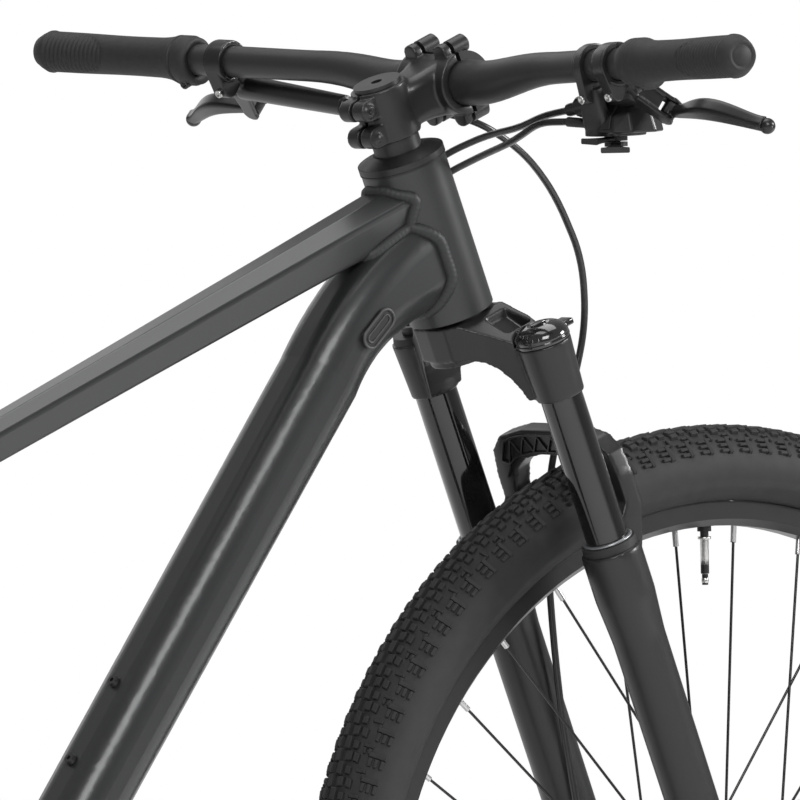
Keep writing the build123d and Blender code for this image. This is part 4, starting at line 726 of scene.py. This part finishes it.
# --- operators ------------------------------------------------------------------------------------
class BIKE_OT_finishes(bpy.types.Operator):
    """Give every solid of the frame its own procedural finish"""
    bl_idname = "bike.finishes"
    bl_label = "Finishes"

    def execute(self, context):
        paint = frame_paint(context.scene.bike_paint.frame_colour)
        surface("weld paint", tuple(c * 1.15 for c in context.scene.bike_paint.frame_colour), 0.55, 0.3)
        satin = satin_black()
        matte = satin_black("matte black bar", 0.025, 0.46)
        plastic = plain_plastic()
        tyre_rubber()
        grip_rubber()
        fork = satin_black("fork black", 0.0175, 0.34)
        satin_black("brake black", 0.014, 0.30)
        surface("ring grey", (0.32, 0.33, 0.34), 0.35, 0.8)
        # The plug lips' grey is lighter than the black plugs and the frame: a painted highlight along their
        # raised edges.
        plain_plastic("plug rubber", 0.05, 0.42)
        satin_black("satin black bolts", 0.02, 0.3)
        steel("bright steel", 0.6, 0.25)
        by_node = {
            "head_tube": paint, "seat_tube": paint, "down_tube": paint, "top_tube": paint,
            "rear_stays_left": paint, "rear_stays_right": paint, "fork_crown": fork, "fork_lowers": fork,
            "stanchions": stanchion_finish(), "lockout_knob": gloss_black("knob black", 0.012),
            "fork_seals": plain_plastic("seal rubber", 0.016, 0.6), "handlebar": matte,
            "saddle_rails": satin_black("rail black", 0.02, 0.4),
            "front_brake_hose": hose_finish(),
            "cassette": steel("cassette steel", 0.42, 0.28, rear_axle),
            "chain": steel("chain steel", 0.38, 0.3),
            "front_rotor": steel("front rotor steel", 0.55, 0.25, front_axle),
            "rear_rotor": steel("rear rotor steel", 0.55, 0.25, rear_axle),
            "front_spokes": two_tone("front spokes", front_axle, 0.2872, 0.05, 0.6),
            "rear_spokes": two_tone("rear spokes", rear_axle, 0.2872, 0.05, 0.6),
            "front_rim": satin_black("rim black", 0.014, 0.34),
        }
        for name in ("jockey_upper", "jockey_lower", "shift_lever_up", "shift_lever_down", "pedal_left",
                     "pedal_right", "derailleur_p_knuckle"):
            by_node[name] = plastic
        by_node["rear_brake_hose"] = by_node["shift_housing"] = by_node["front_brake_hose"]
        by_node["rear_rim"] = by_node["front_rim"]
        for name, piece in nodes.items():
            material = by_node.get(name, satin)
            if not piece.material_slots:
                piece.data.materials.append(material)
            for slot in piece.material_slots:
                slot.material = material
        return {"FINISHED"}


class BIKE_OT_tyres(bpy.types.Operator):
    """Build both tyres with their tread blocks"""
    bl_idname = "bike.tyres"
    bl_label = "Tyres"

    def execute(self, context):
        for which, axle in (("front", front_axle), ("rear", rear_axle)):
            build_tyre(which, axle, context.scene.bike_tyre)
        return {"FINISHED"}


class BIKE_OT_grips(bpy.types.Operator):
    """Shape the grips with their ribbed leaf panels, collars and clamp screws"""
    bl_idname = "bike.grips"
    bl_label = "Grips"

    def execute(self, context):
        settings = context.scene.bike_grip
        for name, side in (("left", 1), ("right", -1)):
            outer, inner = grip_ends(side)
            along = (inner - outer).normalized()
            rear = (-ahead - along * (-ahead).dot(along)).normalized()
            over = along.cross(rear) * (1 if along.cross(rear).z > 0 else -1)
            sleeve = self.sleeve(name, settings, outer, along, rear, over, (inner - outer).length)
            dressed(sleeve, bpy.data.materials["grip rubber"])
            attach(sleeve, "steering")
            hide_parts(f"grip_{name}")
            screw_at = outer + along * 0.1385 - over * 0.0150 + rear * 0.0050
            screw = screw_head(f"grip_screw_{name}", screw_at, rear, 0.0036, 0.0065)
            dressed(screw, bpy.data.materials["satin black bolts"])
            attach(screw, "steering")
        return {"FINISHED"}

    def sleeve(self, name, settings, outer, along, rear, over, length):
        """A closed skin round the bar: end cap, ribbed panel, waist, flange and collar with its lug."""
        profile = [(0.0, 0.0001), (0.0, 0.0062), (0.0005, 0.0066), (0.0009, 0.0074), (0.0005, 0.0082),
                   (0.0, 0.0098), (0.0004, 0.0106), (0.0052, 0.0131), (0.0100, 0.0151), (0.0112, 0.0152)]
        steps = 150
        for i in range(steps + 1):
            d = 0.0125 + (0.1290 - 0.0125) * i / steps
            waist = 0.0146 - 0.0006 * math.exp(-((d - 0.085) / 0.035) ** 2)
            flare = 0.0016 * max(0, (d - 0.112) / 0.017) ** 2
            profile.append((d, waist + flare))
        profile += [(0.1304, 0.0166), (0.1316, 0.0169), (0.1324, 0.0163), (0.1328, 0.0156), (0.1334, 0.0162),
                    (0.1345, 0.0169), (0.1425, 0.0169), (0.1438, 0.0163), (length, 0.0156),
                    (length, bar_end_radius), (0.0028, bar_end_radius), (0.0028, 0.0001)]
        rings, across = [], 120
        leaf_turn, leaf_half_angle, leaf_widest, leaf_taper = 0.35, 1.45, 0.022, 0.046
        ribs_start, ribs_length = 0.012, 0.056
        lug_start, lug_height, lug_least_radius = 0.1240, 0.0042, 0.0125
        for d, radius in profile:
            ring = []
            for k in range(across):
                a = 2 * math.pi * k / across
                lean = abs((a - leaf_turn + math.pi) % (2 * math.pi) - math.pi)
                wide = leaf_half_angle * max(0.0, 1 - (max(0, d - leaf_widest) / leaf_taper) ** 2) ** 0.5
                inside = max(0.0, min(1.0, (wide - lean) / 0.10)) * (0.010 < d < 0.068)
                wave = 0.5 - 0.5 * math.cos(2 * math.pi * (d - ribs_start) * settings.ribs / ribs_length)
                edge = math.exp(-((lean - wide) / 0.05) ** 2) * (0.012 < d < 0.069)
                r = radius - settings.rib_depth * inside * wave ** 1.5 - 0.00035 * edge
                lug = math.exp(-((math.cos(a) * 0.35 + 1.22 + math.sin(a)) / 0.42) ** 2)
                if d > lug_start:
                    r += lug_height * lug * min(1, (d - lug_start) / 0.008) * (r > lug_least_radius)
                ring.append(outer + along * d + (rear * math.cos(a) + over * math.sin(a)) * r)
            rings.append(ring)
        points, faces = spun_rings(rings, True, False)
        cap(faces, 0, across)
        cap(faces, (len(rings) - 1) * across, across, True)
        return mesh_object(f"grip_sleeve_{name}", points, faces)


class BIKE_OT_forged(bpy.types.Operator):
    """Round the fork's crown and lowers, the stem, the brakes and the shifter as forgings and mouldings"""
    bl_idname = "bike.forged"
    bl_label = "Forged pieces"

    def execute(self, context):
        grain = context.scene.bike_forged.grain
        rounding = context.scene.bike_forged.rounding
        sleeve_low, sleeve_high, sleeve_radius = -0.0655, -0.030, 0.0163
        filled = [solid_rod(leg_point(s, sleeve_low), leg_point(s, sleeve_high), sleeve_radius)
                  for s in (-1, 1)]
        pieces = [
            ("crown_forging", "fork_crown", grain, rounding * 2, 0.30, filled, "fork black", "steering",
             "fork_black"),
            ("lowers_casting", "fork_lowers", grain * 1.7, rounding, 0.30, (), "fork black", "fork_lowers",
             "fork_black"),
            ("stem_forging", "stem", grain, rounding + 1, 0.35, (), "satin black alloy", "steering",
             "black_alloy")]
        for side in ("left", "right"):
            pieces.append((f"brake_casting_{side}", f"brake_body_{side}", grain * 0.8, rounding - 1, 0.35, (),
                           "brake black", "steering", "black_alloy"))
            pieces.append((f"blade_forging_{side}", f"brake_blade_{side}", grain * 0.7, rounding + 1, 0.45,
                           (), "brake black", f"brake_blade_{side}", "black_alloy"))
        pieces.append(("shifter_moulding", "shifter_body", grain * 0.8, rounding - 1, 0.4, (),
                       "black plastic", "steering", "black_alloy"))
        for name, node, size, passes, kept, added, material, body, slot in pieces:
            piece = softened(name, node, size, passes, kept, added)
            dressed(piece, bpy.data.materials[material])
            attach(piece, body)
            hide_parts(node)
        return {"FINISHED"}


class BIKE_OT_fork_details(bpy.types.Operator):
    """Add the lockout dial, the arch's ribs and the bright rings at the seals"""
    bl_idname = "bike.fork_details"
    bl_label = "Fork details"

    def execute(self, context):
        self.dial()
        ring_parts = []
        for s in (-1, 1):
            top = corners_on_leg(s)
            ring_parts.append(turned("ring", leg_point(s, top), up_steering,
                                     [(0.0, 0.0153), (0.0, 0.0176), (0.0012, 0.0180), (0.0020, 0.0172),
                                      (0.0022, 0.0153), (0.0, 0.0153)], 72))
        rings = joined("seal_rings", ring_parts)
        dressed(rings, bpy.data.materials["ring grey"])
        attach(rings, "fork_lowers")
        self.ribs()
        return {"FINISHED"}

    def dial(self):
        """The dome over the damper, with a seam, a pointer and a tab to the front."""
        base = leg_point(-1, -0.0247)
        profile = [(0.0, 0.0001), (0.0, 0.0194), (0.0012, 0.0196), (0.0022, 0.0196), (0.0026, 0.0191),
                   (0.0034, 0.0191), (0.0038, 0.0195), (0.0058, 0.0190), (0.0078, 0.0178), (0.0098, 0.0158),
                   (0.0115, 0.0128), (0.0126, 0.0090), (0.0129, 0.0080), (0.0124, 0.0076), (0.0124, 0.0001)]
        dome = turned("dome", base, up_steering, profile, 96)
        pieces = [dome]
        for k in range(-3, 4):
            a = math.radians(180 + k * 14)
            out = ahead * math.cos(a) + left * math.sin(a)
            start = base + out * 0.0150 + up_steering * 0.0098
            end = base + out * 0.0190 + up_steering * 0.0048
            pieces.append(box_between("rib", start, end, up_steering, 0.0016, 0.0009))
        tip = base + ahead * 0.0262 + up_steering * 0.0026
        root = base + ahead * 0.008 + up_steering * 0.0030
        pieces.append(bevelled(box_between("tab", root, tip, up_steering, 0.0125, 0.0040), 0.0012, 3))
        back, front = (base + ahead * reach + up_steering * 0.0122 for reach in (-0.006, 0.006))
        pieces.append(bevelled(box_between("pointer", back, front, up_steering, 0.0034, 0.0014), 0.0005, 2))
        whole = joined("lockout_dial", pieces)
        whole.data.shade_smooth()
        bevelled(whole, 0.0003, 2, 50)
        dressed(whole, bpy.data.materials["knob black"])
        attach(whole, "lockout_knob")
        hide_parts("lockout_knob")

    def ribs(self):
        """Zig-zag ribs inside two edge ribs on the arch's rear face."""
        target = merged_mesh("fork_lowers")
        tree = BVHTree.FromBMesh(target)

        def skin(y, z):
            start = on_steering(-0.03, y, z)
            hit = tree.ray_cast(start, ahead, 0.2)
            return hit[0] if hit[0] is not None else None

        def middle(t, inset):
            """A point between the arch's edges: t along it from the middle, inset 0 to 1 across."""
            y = 0.0585 * t
            outer = -0.1075 - 0.0105 * abs(t) ** 3.2 - 0.020 * max(0, abs(t) - 0.80) / 0.2
            inner = -0.1262 - 0.0170 * abs(t) ** 2.6 - 0.010 * max(0, abs(t) - 0.72) / 0.28
            return y, outer + (inner - outer) * inset

        pieces = []
        steps = 7
        lines = {0.16: [], 0.84: []}
        zig = []
        for i in range(-steps, steps + 1):
            t = i / steps * 0.92
            for inset, line in lines.items():
                line.append(skin(*middle(t, inset)))
            zig.append(skin(*middle(t, 0.2 if i % 2 else 0.8)))
        for line, width in ((lines[0.16], 0.0014), (lines[0.84], 0.0014), (zig, 0.0013)):
            for a, b in zip(line, line[1:]):
                if a is not None and b is not None and (a - b).length < 0.03:
                    pieces.append(box_between("rib", a, b, -ahead, width, 0.0016))
        target.free()
        if not pieces:
            raise RuntimeError("the arch's rear face wasn't found")
        ribs = joined("arch_ribs", pieces)
        bevelled(ribs, 0.0003, 2)
        dressed(ribs, bpy.data.materials["fork black"])
        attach(ribs, "fork_lowers")


class BIKE_OT_welds(bpy.types.Operator):
    """Lay rippled weld beads along the joints of the frame's tubes"""
    bl_idname = "bike.welds"
    bl_label = "Welds"

    def execute(self, context):
        settings = context.scene.bike_weld
        made = []
        for node, other in (("top_tube", "head_tube"), ("down_tube", "head_tube"), ("top_tube", "down_tube"),
                            ("top_tube", "seat_tube"), ("down_tube", "seat_tube"),
                            ("rear_stays_left", "seat_tube"), ("rear_stays_right", "seat_tube")):
            for line, closed in seams(node, other):
                path = resampled(line, settings.ripple / 3.2, closed)
                for _ in range(6):
                    count = len(path)
                    path = [path[i] if not closed and i in (0, count - 1) else
                            (path[i - 1] + path[i] * 2 + path[(i + 1) % count]) / 4 for i in range(count)]
                made.append(swept("bead", path, settings.bead_radius, 0.035, settings.ripple, 10, closed))
        if not made:
            raise RuntimeError("no joint between the tubes was found")
        beads = joined("weld_beads", made)
        beads.data.shade_smooth()
        dressed(beads, bpy.data.materials["weld paint"])
        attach(beads, "frame")
        return {"FINISHED"}


class BIKE_OT_saddle(bpy.types.Operator):
    """Shape the saddle's padded cover with its channel and stitched seams"""
    bl_idname = "bike.saddle"
    bl_label = "Saddle"

    def execute(self, context):
        settings = context.scene.bike_saddle
        low, high = corners("saddle_cover")
        length = high.x - low.x
        halves = [(0.0, 0.050), (0.03, 0.0575), (0.10, 0.0655), (0.18, 0.0665), (0.30, 0.0545),
                  (0.42, 0.0415), (0.56, 0.0300), (0.70, 0.0235), (0.84, 0.0200), (0.94, 0.0165),
                  (0.985, 0.0115), (1.0, 0.0060)]
        crests = [(0.0, 0.55), (0.03, 0.80), (0.10, 0.98), (0.20, 1.0), (0.45, 0.95), (0.70, 0.92),
                  (0.88, 0.86), (0.96, 0.74), (1.0, 0.50)]

        def between(table, t):
            for (a, va), (b, vb) in zip(table, table[1:]):
                if t <= b:
                    s = (t - a) / (b - a)
                    return va + (vb - va) * s * s * (3 - 2 * s)
            return table[-1][1]

        def section(t, a):
            half, tall = between(halves, t), (high.z - low.z) * between(crests, t)
            c, s = math.cos(a), math.sin(a)
            y = half * math.copysign(abs(c) ** 0.55, c)
            z = low.z + 0.0002 + (0.5 + 0.5 * math.copysign(abs(s) ** 0.62, s)) * tall
            if s > 0:
                channel = math.exp(-(y / 0.0085) ** 2) * math.exp(-((t - 0.42) / 0.30) ** 4)
                z -= settings.groove * channel * s
                z += 0.0018 * math.exp(-((t - 0.16) / 0.12) ** 2) * (abs(y) / half - 0.5) * s
            return Vector((low.x + length * t, y, min(z, high.z)))

        rows, across = 72, 56
        rings = []
        for i in range(rows + 1):
            t = 0.5 - 0.5 * math.cos(math.pi * i / rows)
            rings.append([section(t, 2 * math.pi * k / across) for k in range(across)])
        points, faces = spun_rings(rings, True, False)
        cap(faces, 0, across)
        cap(faces, rows * across, across, True)
        cover = mesh_object("saddle_padding", points, faces)
        bevelled(cover, 0.0012, 2, 60)
        dressed(cover, saddle_fabric())
        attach(cover, "seatpost")
        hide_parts("saddle_cover")
        stitches = []
        for s in (-1, 1):
            line = []
            for i in range(121):
                t = 0.05 + 0.90 * i / 120
                a = math.radians(38) if s > 0 else math.radians(142)
                line.append(section(t, a) + Vector((0, s * 0.0001, 0.0003)))
            line = resampled(line, settings.stitch, False)
            for a, b in zip(line, line[1:]):
                stitches.append(swept("stitch", [a.lerp(b, 0.12), a.lerp(b, 0.5) + Vector((0, 0, 0.0002)),
                                                 a.lerp(b, 0.88)], 0.00045, sides=6))
        thread = joined("saddle_stitching", stitches)
        dressed(thread, plain_plastic("thread grey", 0.06, 0.6))
        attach(thread, "seatpost")
        return {"FINISHED"}


class BIKE_OT_cockpit(bpy.types.Operator):
    """Add the clamps' straps and bolts, the blades' ball ends and the shifter's cover"""
    bl_idname = "bike.cockpit"
    bl_label = "Levers and clamps"

    def execute(self, context):
        straps, bolts = [], []
        for side in (1, -1):
            strap, bolt = clamp_strap("strap", brake_clamp_y, side, 0.0060, 0.0080, 0.0190)
            straps.append(strap)
            bolts.append(bolt)
        strap, bolt = clamp_strap("strap", shift_clamp_y, -1, 0.0046, 0.0120, 0.0180)
        straps.append(strap)
        bolts.append(bolt)
        self.cover()
        for name, parts, material, slot in (("clamp_straps", straps, "brake black", "black_alloy"),
                                            ("clamp_bolts", bolts, "bright steel", "spoke_steel")):
            whole = joined(name, parts)
            dressed(whole, bpy.data.materials[material])
            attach(whole, "steering")
        for name, side in (("left", 1), ("right", -1)):
            pivot = Vector(joint_of(f"brake_{name}")["pos_m"])
            tip = pivot + blade_down * 0.0165 + left * side * 0.0872
            size, halves = 0.0056, [math.pi * i / 12 for i in range(13)]
            round_end = [(size - size * math.cos(a), max(0.00005, size * math.sin(a))) for a in halves]
            ball = turned("ball", tip - left * side * size, left * side, round_end, 24)
            neck = swept("neck", [pivot + blade_down * 0.0115 + left * side * 0.0760,
                                  pivot + blade_down * 0.0140 + left * side * 0.0815, tip], 0.0042)
            pin = screw_head("pin", pivot + blade_up * 0.0083, blade_up, 0.0034, 0.0012)
            end = joined(f"blade_end_{name}", [ball, neck])
            end.data.shade_smooth()
            dressed(end, bpy.data.materials["brake black"])
            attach(end, f"brake_blade_{name}")
            pin.name = f"blade_pin_{name}"
            dressed(pin, bpy.data.materials["bright steel"])
            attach(pin, "steering")
        return {"FINISHED"}

    def cover(self):
        """The shifter's faceted cover over its moulding, with a raised panel behind."""
        clamp = bar_axis(shift_clamp_y, -1)
        hub = clamp + ahead * 0.009 - left * 0.008 - up_steering * 0.049
        upright = ahead * 0.35 + up_steering * 0.94
        flat = ahead * 0.94 - up_steering * 0.35

        def at(back, inward, height):
            return hub + (left * inward + upright * height - flat * back) * 0.001

        body = [at(23, 8, -4), at(14, 20, -4), at(-6, 23, -4), at(-20, 12, -4), at(-20, -12, -4),
                at(-6, -21, -4), at(14, -19, -4), at(24, -8, -4), at(20, 10, 9), at(12, 18, 13),
                at(-8, 20, 14), at(-16, 8, 18), at(-16, -10, 16), at(-2, -18, 14), at(14, -16, 11),
                at(22, -7, 7), at(6, 6, 24), at(-4, 6, 25), at(-4, -6, 24), at(7, -7, 23)]
        pieces = [faceted("body", body, 0.0016),
                  faceted("panel", [at(24.5, 4, -1), at(24.5, -6, -1), at(21, 6, 9), at(23, -6, 8),
                                    at(15, 4, 17), at(16, -6, 16), at(12, 4, 4), at(12, -6, 4)], 0.0007)]
        cover = joined("shifter_cover", pieces)
        dressed(cover, bpy.data.materials["brake black"])
        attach(cover, "steering")


class BIKE_OT_small_parts(bpy.types.Operator):
    """Add the tyre valves and the cable plugs' raised lips"""
    bl_idname = "bike.small_parts"
    bl_label = "Small parts"

    def execute(self, context):
        lips = []
        along = ahead * math.cos(plug_slope) + up_steering * math.sin(plug_slope)
        across = left.cross(along)
        for s in (-1, 1):
            centre = on_steering(plug_at[0], s * plug_at[1], plug_at[2])
            for inset, radius in ((0.0004, 0.0010), (0.0042, 0.0006)):
                half, straight = 0.0070 - inset, 0.0095
                path = []
                for i in range(48):
                    a = 2 * math.pi * i / 48
                    shift = straight if math.cos(a) > 0 else -straight
                    path.append(centre + along * (shift + half * math.cos(a)) + across * half * math.sin(a))
                lips.append(swept("lip", path, radius, sides=8, closed=True))
        lips = joined("plug_lips", lips)
        lips.data.shade_smooth()
        # The lips take the lighter grey, a painted highlight along the plugs' raised edges.
        dressed(lips, bpy.data.materials["plug rubber"])
        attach(lips, "frame")
        for which, axle in (("front", front_axle), ("rear", rear_axle)):
            out = Vector((math.cos(valve_turns[which]), 0, math.sin(valve_turns[which])))
            profile = [(0, 0.0001), (0, 0.0047), (0.0018, 0.0047), (0.0022, 0.0031), (0.0200, 0.0030),
                       (0.0204, 0.0026), (0.0262, 0.0026), (0.0266, 0.0020), (0.0292, 0.0020),
                       (0.0296, 0.0025), (0.0326, 0.0025), (0.0332, 0.0018), (0.0334, 0.0001)]
            valve = turned(f"{which}_valve", axle + out * valve_seat, -out, profile, 24)
            dressed(valve, bpy.data.materials["bright steel"])
            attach(valve, f"{which}_wheel")
        return {"FINISHED"}


def floor_finish():
    """Pale floor that takes the bike's shadow and turns to plain white further out."""
    material = surface("pale floor", lambda p: p.noise(3, 2).blend((0.88,) * 3, (0.92,) * 3), 0.8)
    tree = material.node_tree
    shader, out = tree.nodes["Principled BSDF"], tree.nodes["Material Output"]
    start = Wire(tree, shader.outputs[0])
    place = start.node("ShaderNodeTexCoord", output=3)
    far = place.node("ShaderNodeVectorMath", {"operation": "LENGTH"}, {0: place}, output=1)
    share = far.node("ShaderNodeMapRange", {"interpolation_type": "SMOOTHSTEP"},
                     {"Value": far, "From Min": 1.3, "From Max": 2.6, "To Min": 0.0, "To Max": 1.0})
    path = tree.nodes.new("ShaderNodeLightPath")
    share = share * Wire(tree, path.outputs["Is Camera Ray"])
    glow = tree.nodes.new("ShaderNodeEmission")
    glow.inputs["Color"].default_value = (1, 1, 1, 1)
    mixed = tree.nodes.new("ShaderNodeMixShader")
    tree.links.new(share.socket, mixed.inputs[0])
    tree.links.new(shader.outputs[0], mixed.inputs[1])
    tree.links.new(glow.outputs[0], mixed.inputs[2])
    tree.links.new(mixed.outputs[0], out.inputs["Surface"])
    return material


class BIKE_OT_stage(bpy.types.Operator):
    """Set the floor, the soft lights and the camera"""
    bl_idname = "bike.stage"
    bl_label = "Stage and camera"

    def execute(self, context):
        scene = context.scene
        floor = mesh_object("floor", [(-6, -6, 0), (6, -6, 0), (6, 6, 0), (-6, 6, 0)], [(0, 1, 2, 3)], False)
        dressed(floor, floor_finish())
        world = bpy.data.worlds.new("studio")
        scene.world = world
        world.use_nodes = True
        tree = world.node_tree
        background = tree.nodes["Background"]
        path = tree.nodes.new("ShaderNodeLightPath")
        strength = Wire(tree, path.outputs["Is Camera Ray"]) * 0.75 + 0.25
        background.inputs["Color"].default_value = (1, 1, 1, 1)
        tree.links.new(strength.socket, background.inputs["Strength"])
        for name, spot, size, power in (
                ("key", (-2.2, -3.6, 3.6), 2.2, 130), ("side", (3.6, -2.4, 2.4), 1.4, 150),
                ("top", (0.2, 0.6, 4.2), 3.0, 70), ("back", (1.2, 4.2, 2.4), 2.6, 18)):
            lamp = bpy.data.lights.new(name, "AREA")
            lamp.shape, lamp.size, lamp.energy = "SQUARE", size, power
            holder = bpy.data.objects.new(name, lamp)
            holder.location = spot
            aim = Vector((0.2, 0, 0.7)) - Vector(spot)
            holder.rotation_euler = aim.to_track_quat("-Z", "Y").to_euler()
            scene.collection.objects.link(holder)
        camera = bpy.data.objects.new("camera", bpy.data.cameras.new("camera"))
        azimuth, fall, roll = (math.radians(angle) for angle in (50.643, 2.617, -1.096))
        forward = Vector((math.cos(fall) * math.cos(azimuth), math.cos(fall) * math.sin(azimuth),
                          -math.sin(fall)))
        right = forward.cross(Vector((0, 0, 1))).normalized()
        up = right.cross(forward)
        across = right * math.cos(roll) + up * math.sin(roll)
        upright = up * math.cos(roll) - right * math.sin(roll)
        place = Matrix((across, upright, -forward)).transposed().to_4x4()
        place.translation = Vector((-5.920, -7.5795, 1.2191))
        camera.matrix_world = place
        camera.data.sensor_width = 36
        camera.data.lens = 635.3
        camera.data.clip_end = 60
        scene.collection.objects.link(camera)
        scene.camera = camera
        scene.view_settings.view_transform = "Standard"
        return {"FINISHED"}


class BIKE_PT_panel(bpy.types.Panel):
    """Lists the bike's pieces in the sidebar"""
    bl_idname = "BIKE_PT_panel"
    bl_label = "Mountain bike"
    bl_space_type = "VIEW_3D"
    bl_region_type = "UI"
    bl_category = "Bike"

    def draw(self, context):
        layout = self.layout
        for holder in groups:
            group = getattr(context.scene, holder)
            box = layout.box()
            for key in group.__annotations__:
                box.prop(group, key)
        for operator in operators:
            layout.operator(operator.bl_idname)


groups = {"bike_paint": PaintSettings, "bike_tyre": TyreSettings, "bike_grip": GripSettings,
          "bike_weld": WeldSettings, "bike_forged": ForgedSettings, "bike_saddle": SaddleSettings}
operators = [BIKE_OT_stage, BIKE_OT_finishes, BIKE_OT_tyres, BIKE_OT_grips, BIKE_OT_forged,
             BIKE_OT_fork_details, BIKE_OT_welds, BIKE_OT_saddle, BIKE_OT_cockpit, BIKE_OT_small_parts]


def register():
    for made in (*groups.values(), *operators, BIKE_PT_panel):
        bpy.utils.register_class(made)
    for name, group in groups.items():
        setattr(bpy.types.Scene, name, PointerProperty(type=group))


def unregister():
    for name in groups:
        delattr(bpy.types.Scene, name)
    for made in (BIKE_PT_panel, *reversed(operators), *reversed(list(groups.values()))):
        bpy.utils.unregister_class(made)


def main():
    register()
    for operator in operators:
        group, name = operator.bl_idname.split(".")
        getattr(getattr(bpy.ops, group), name)()


if __name__ == "__main__":
    main()
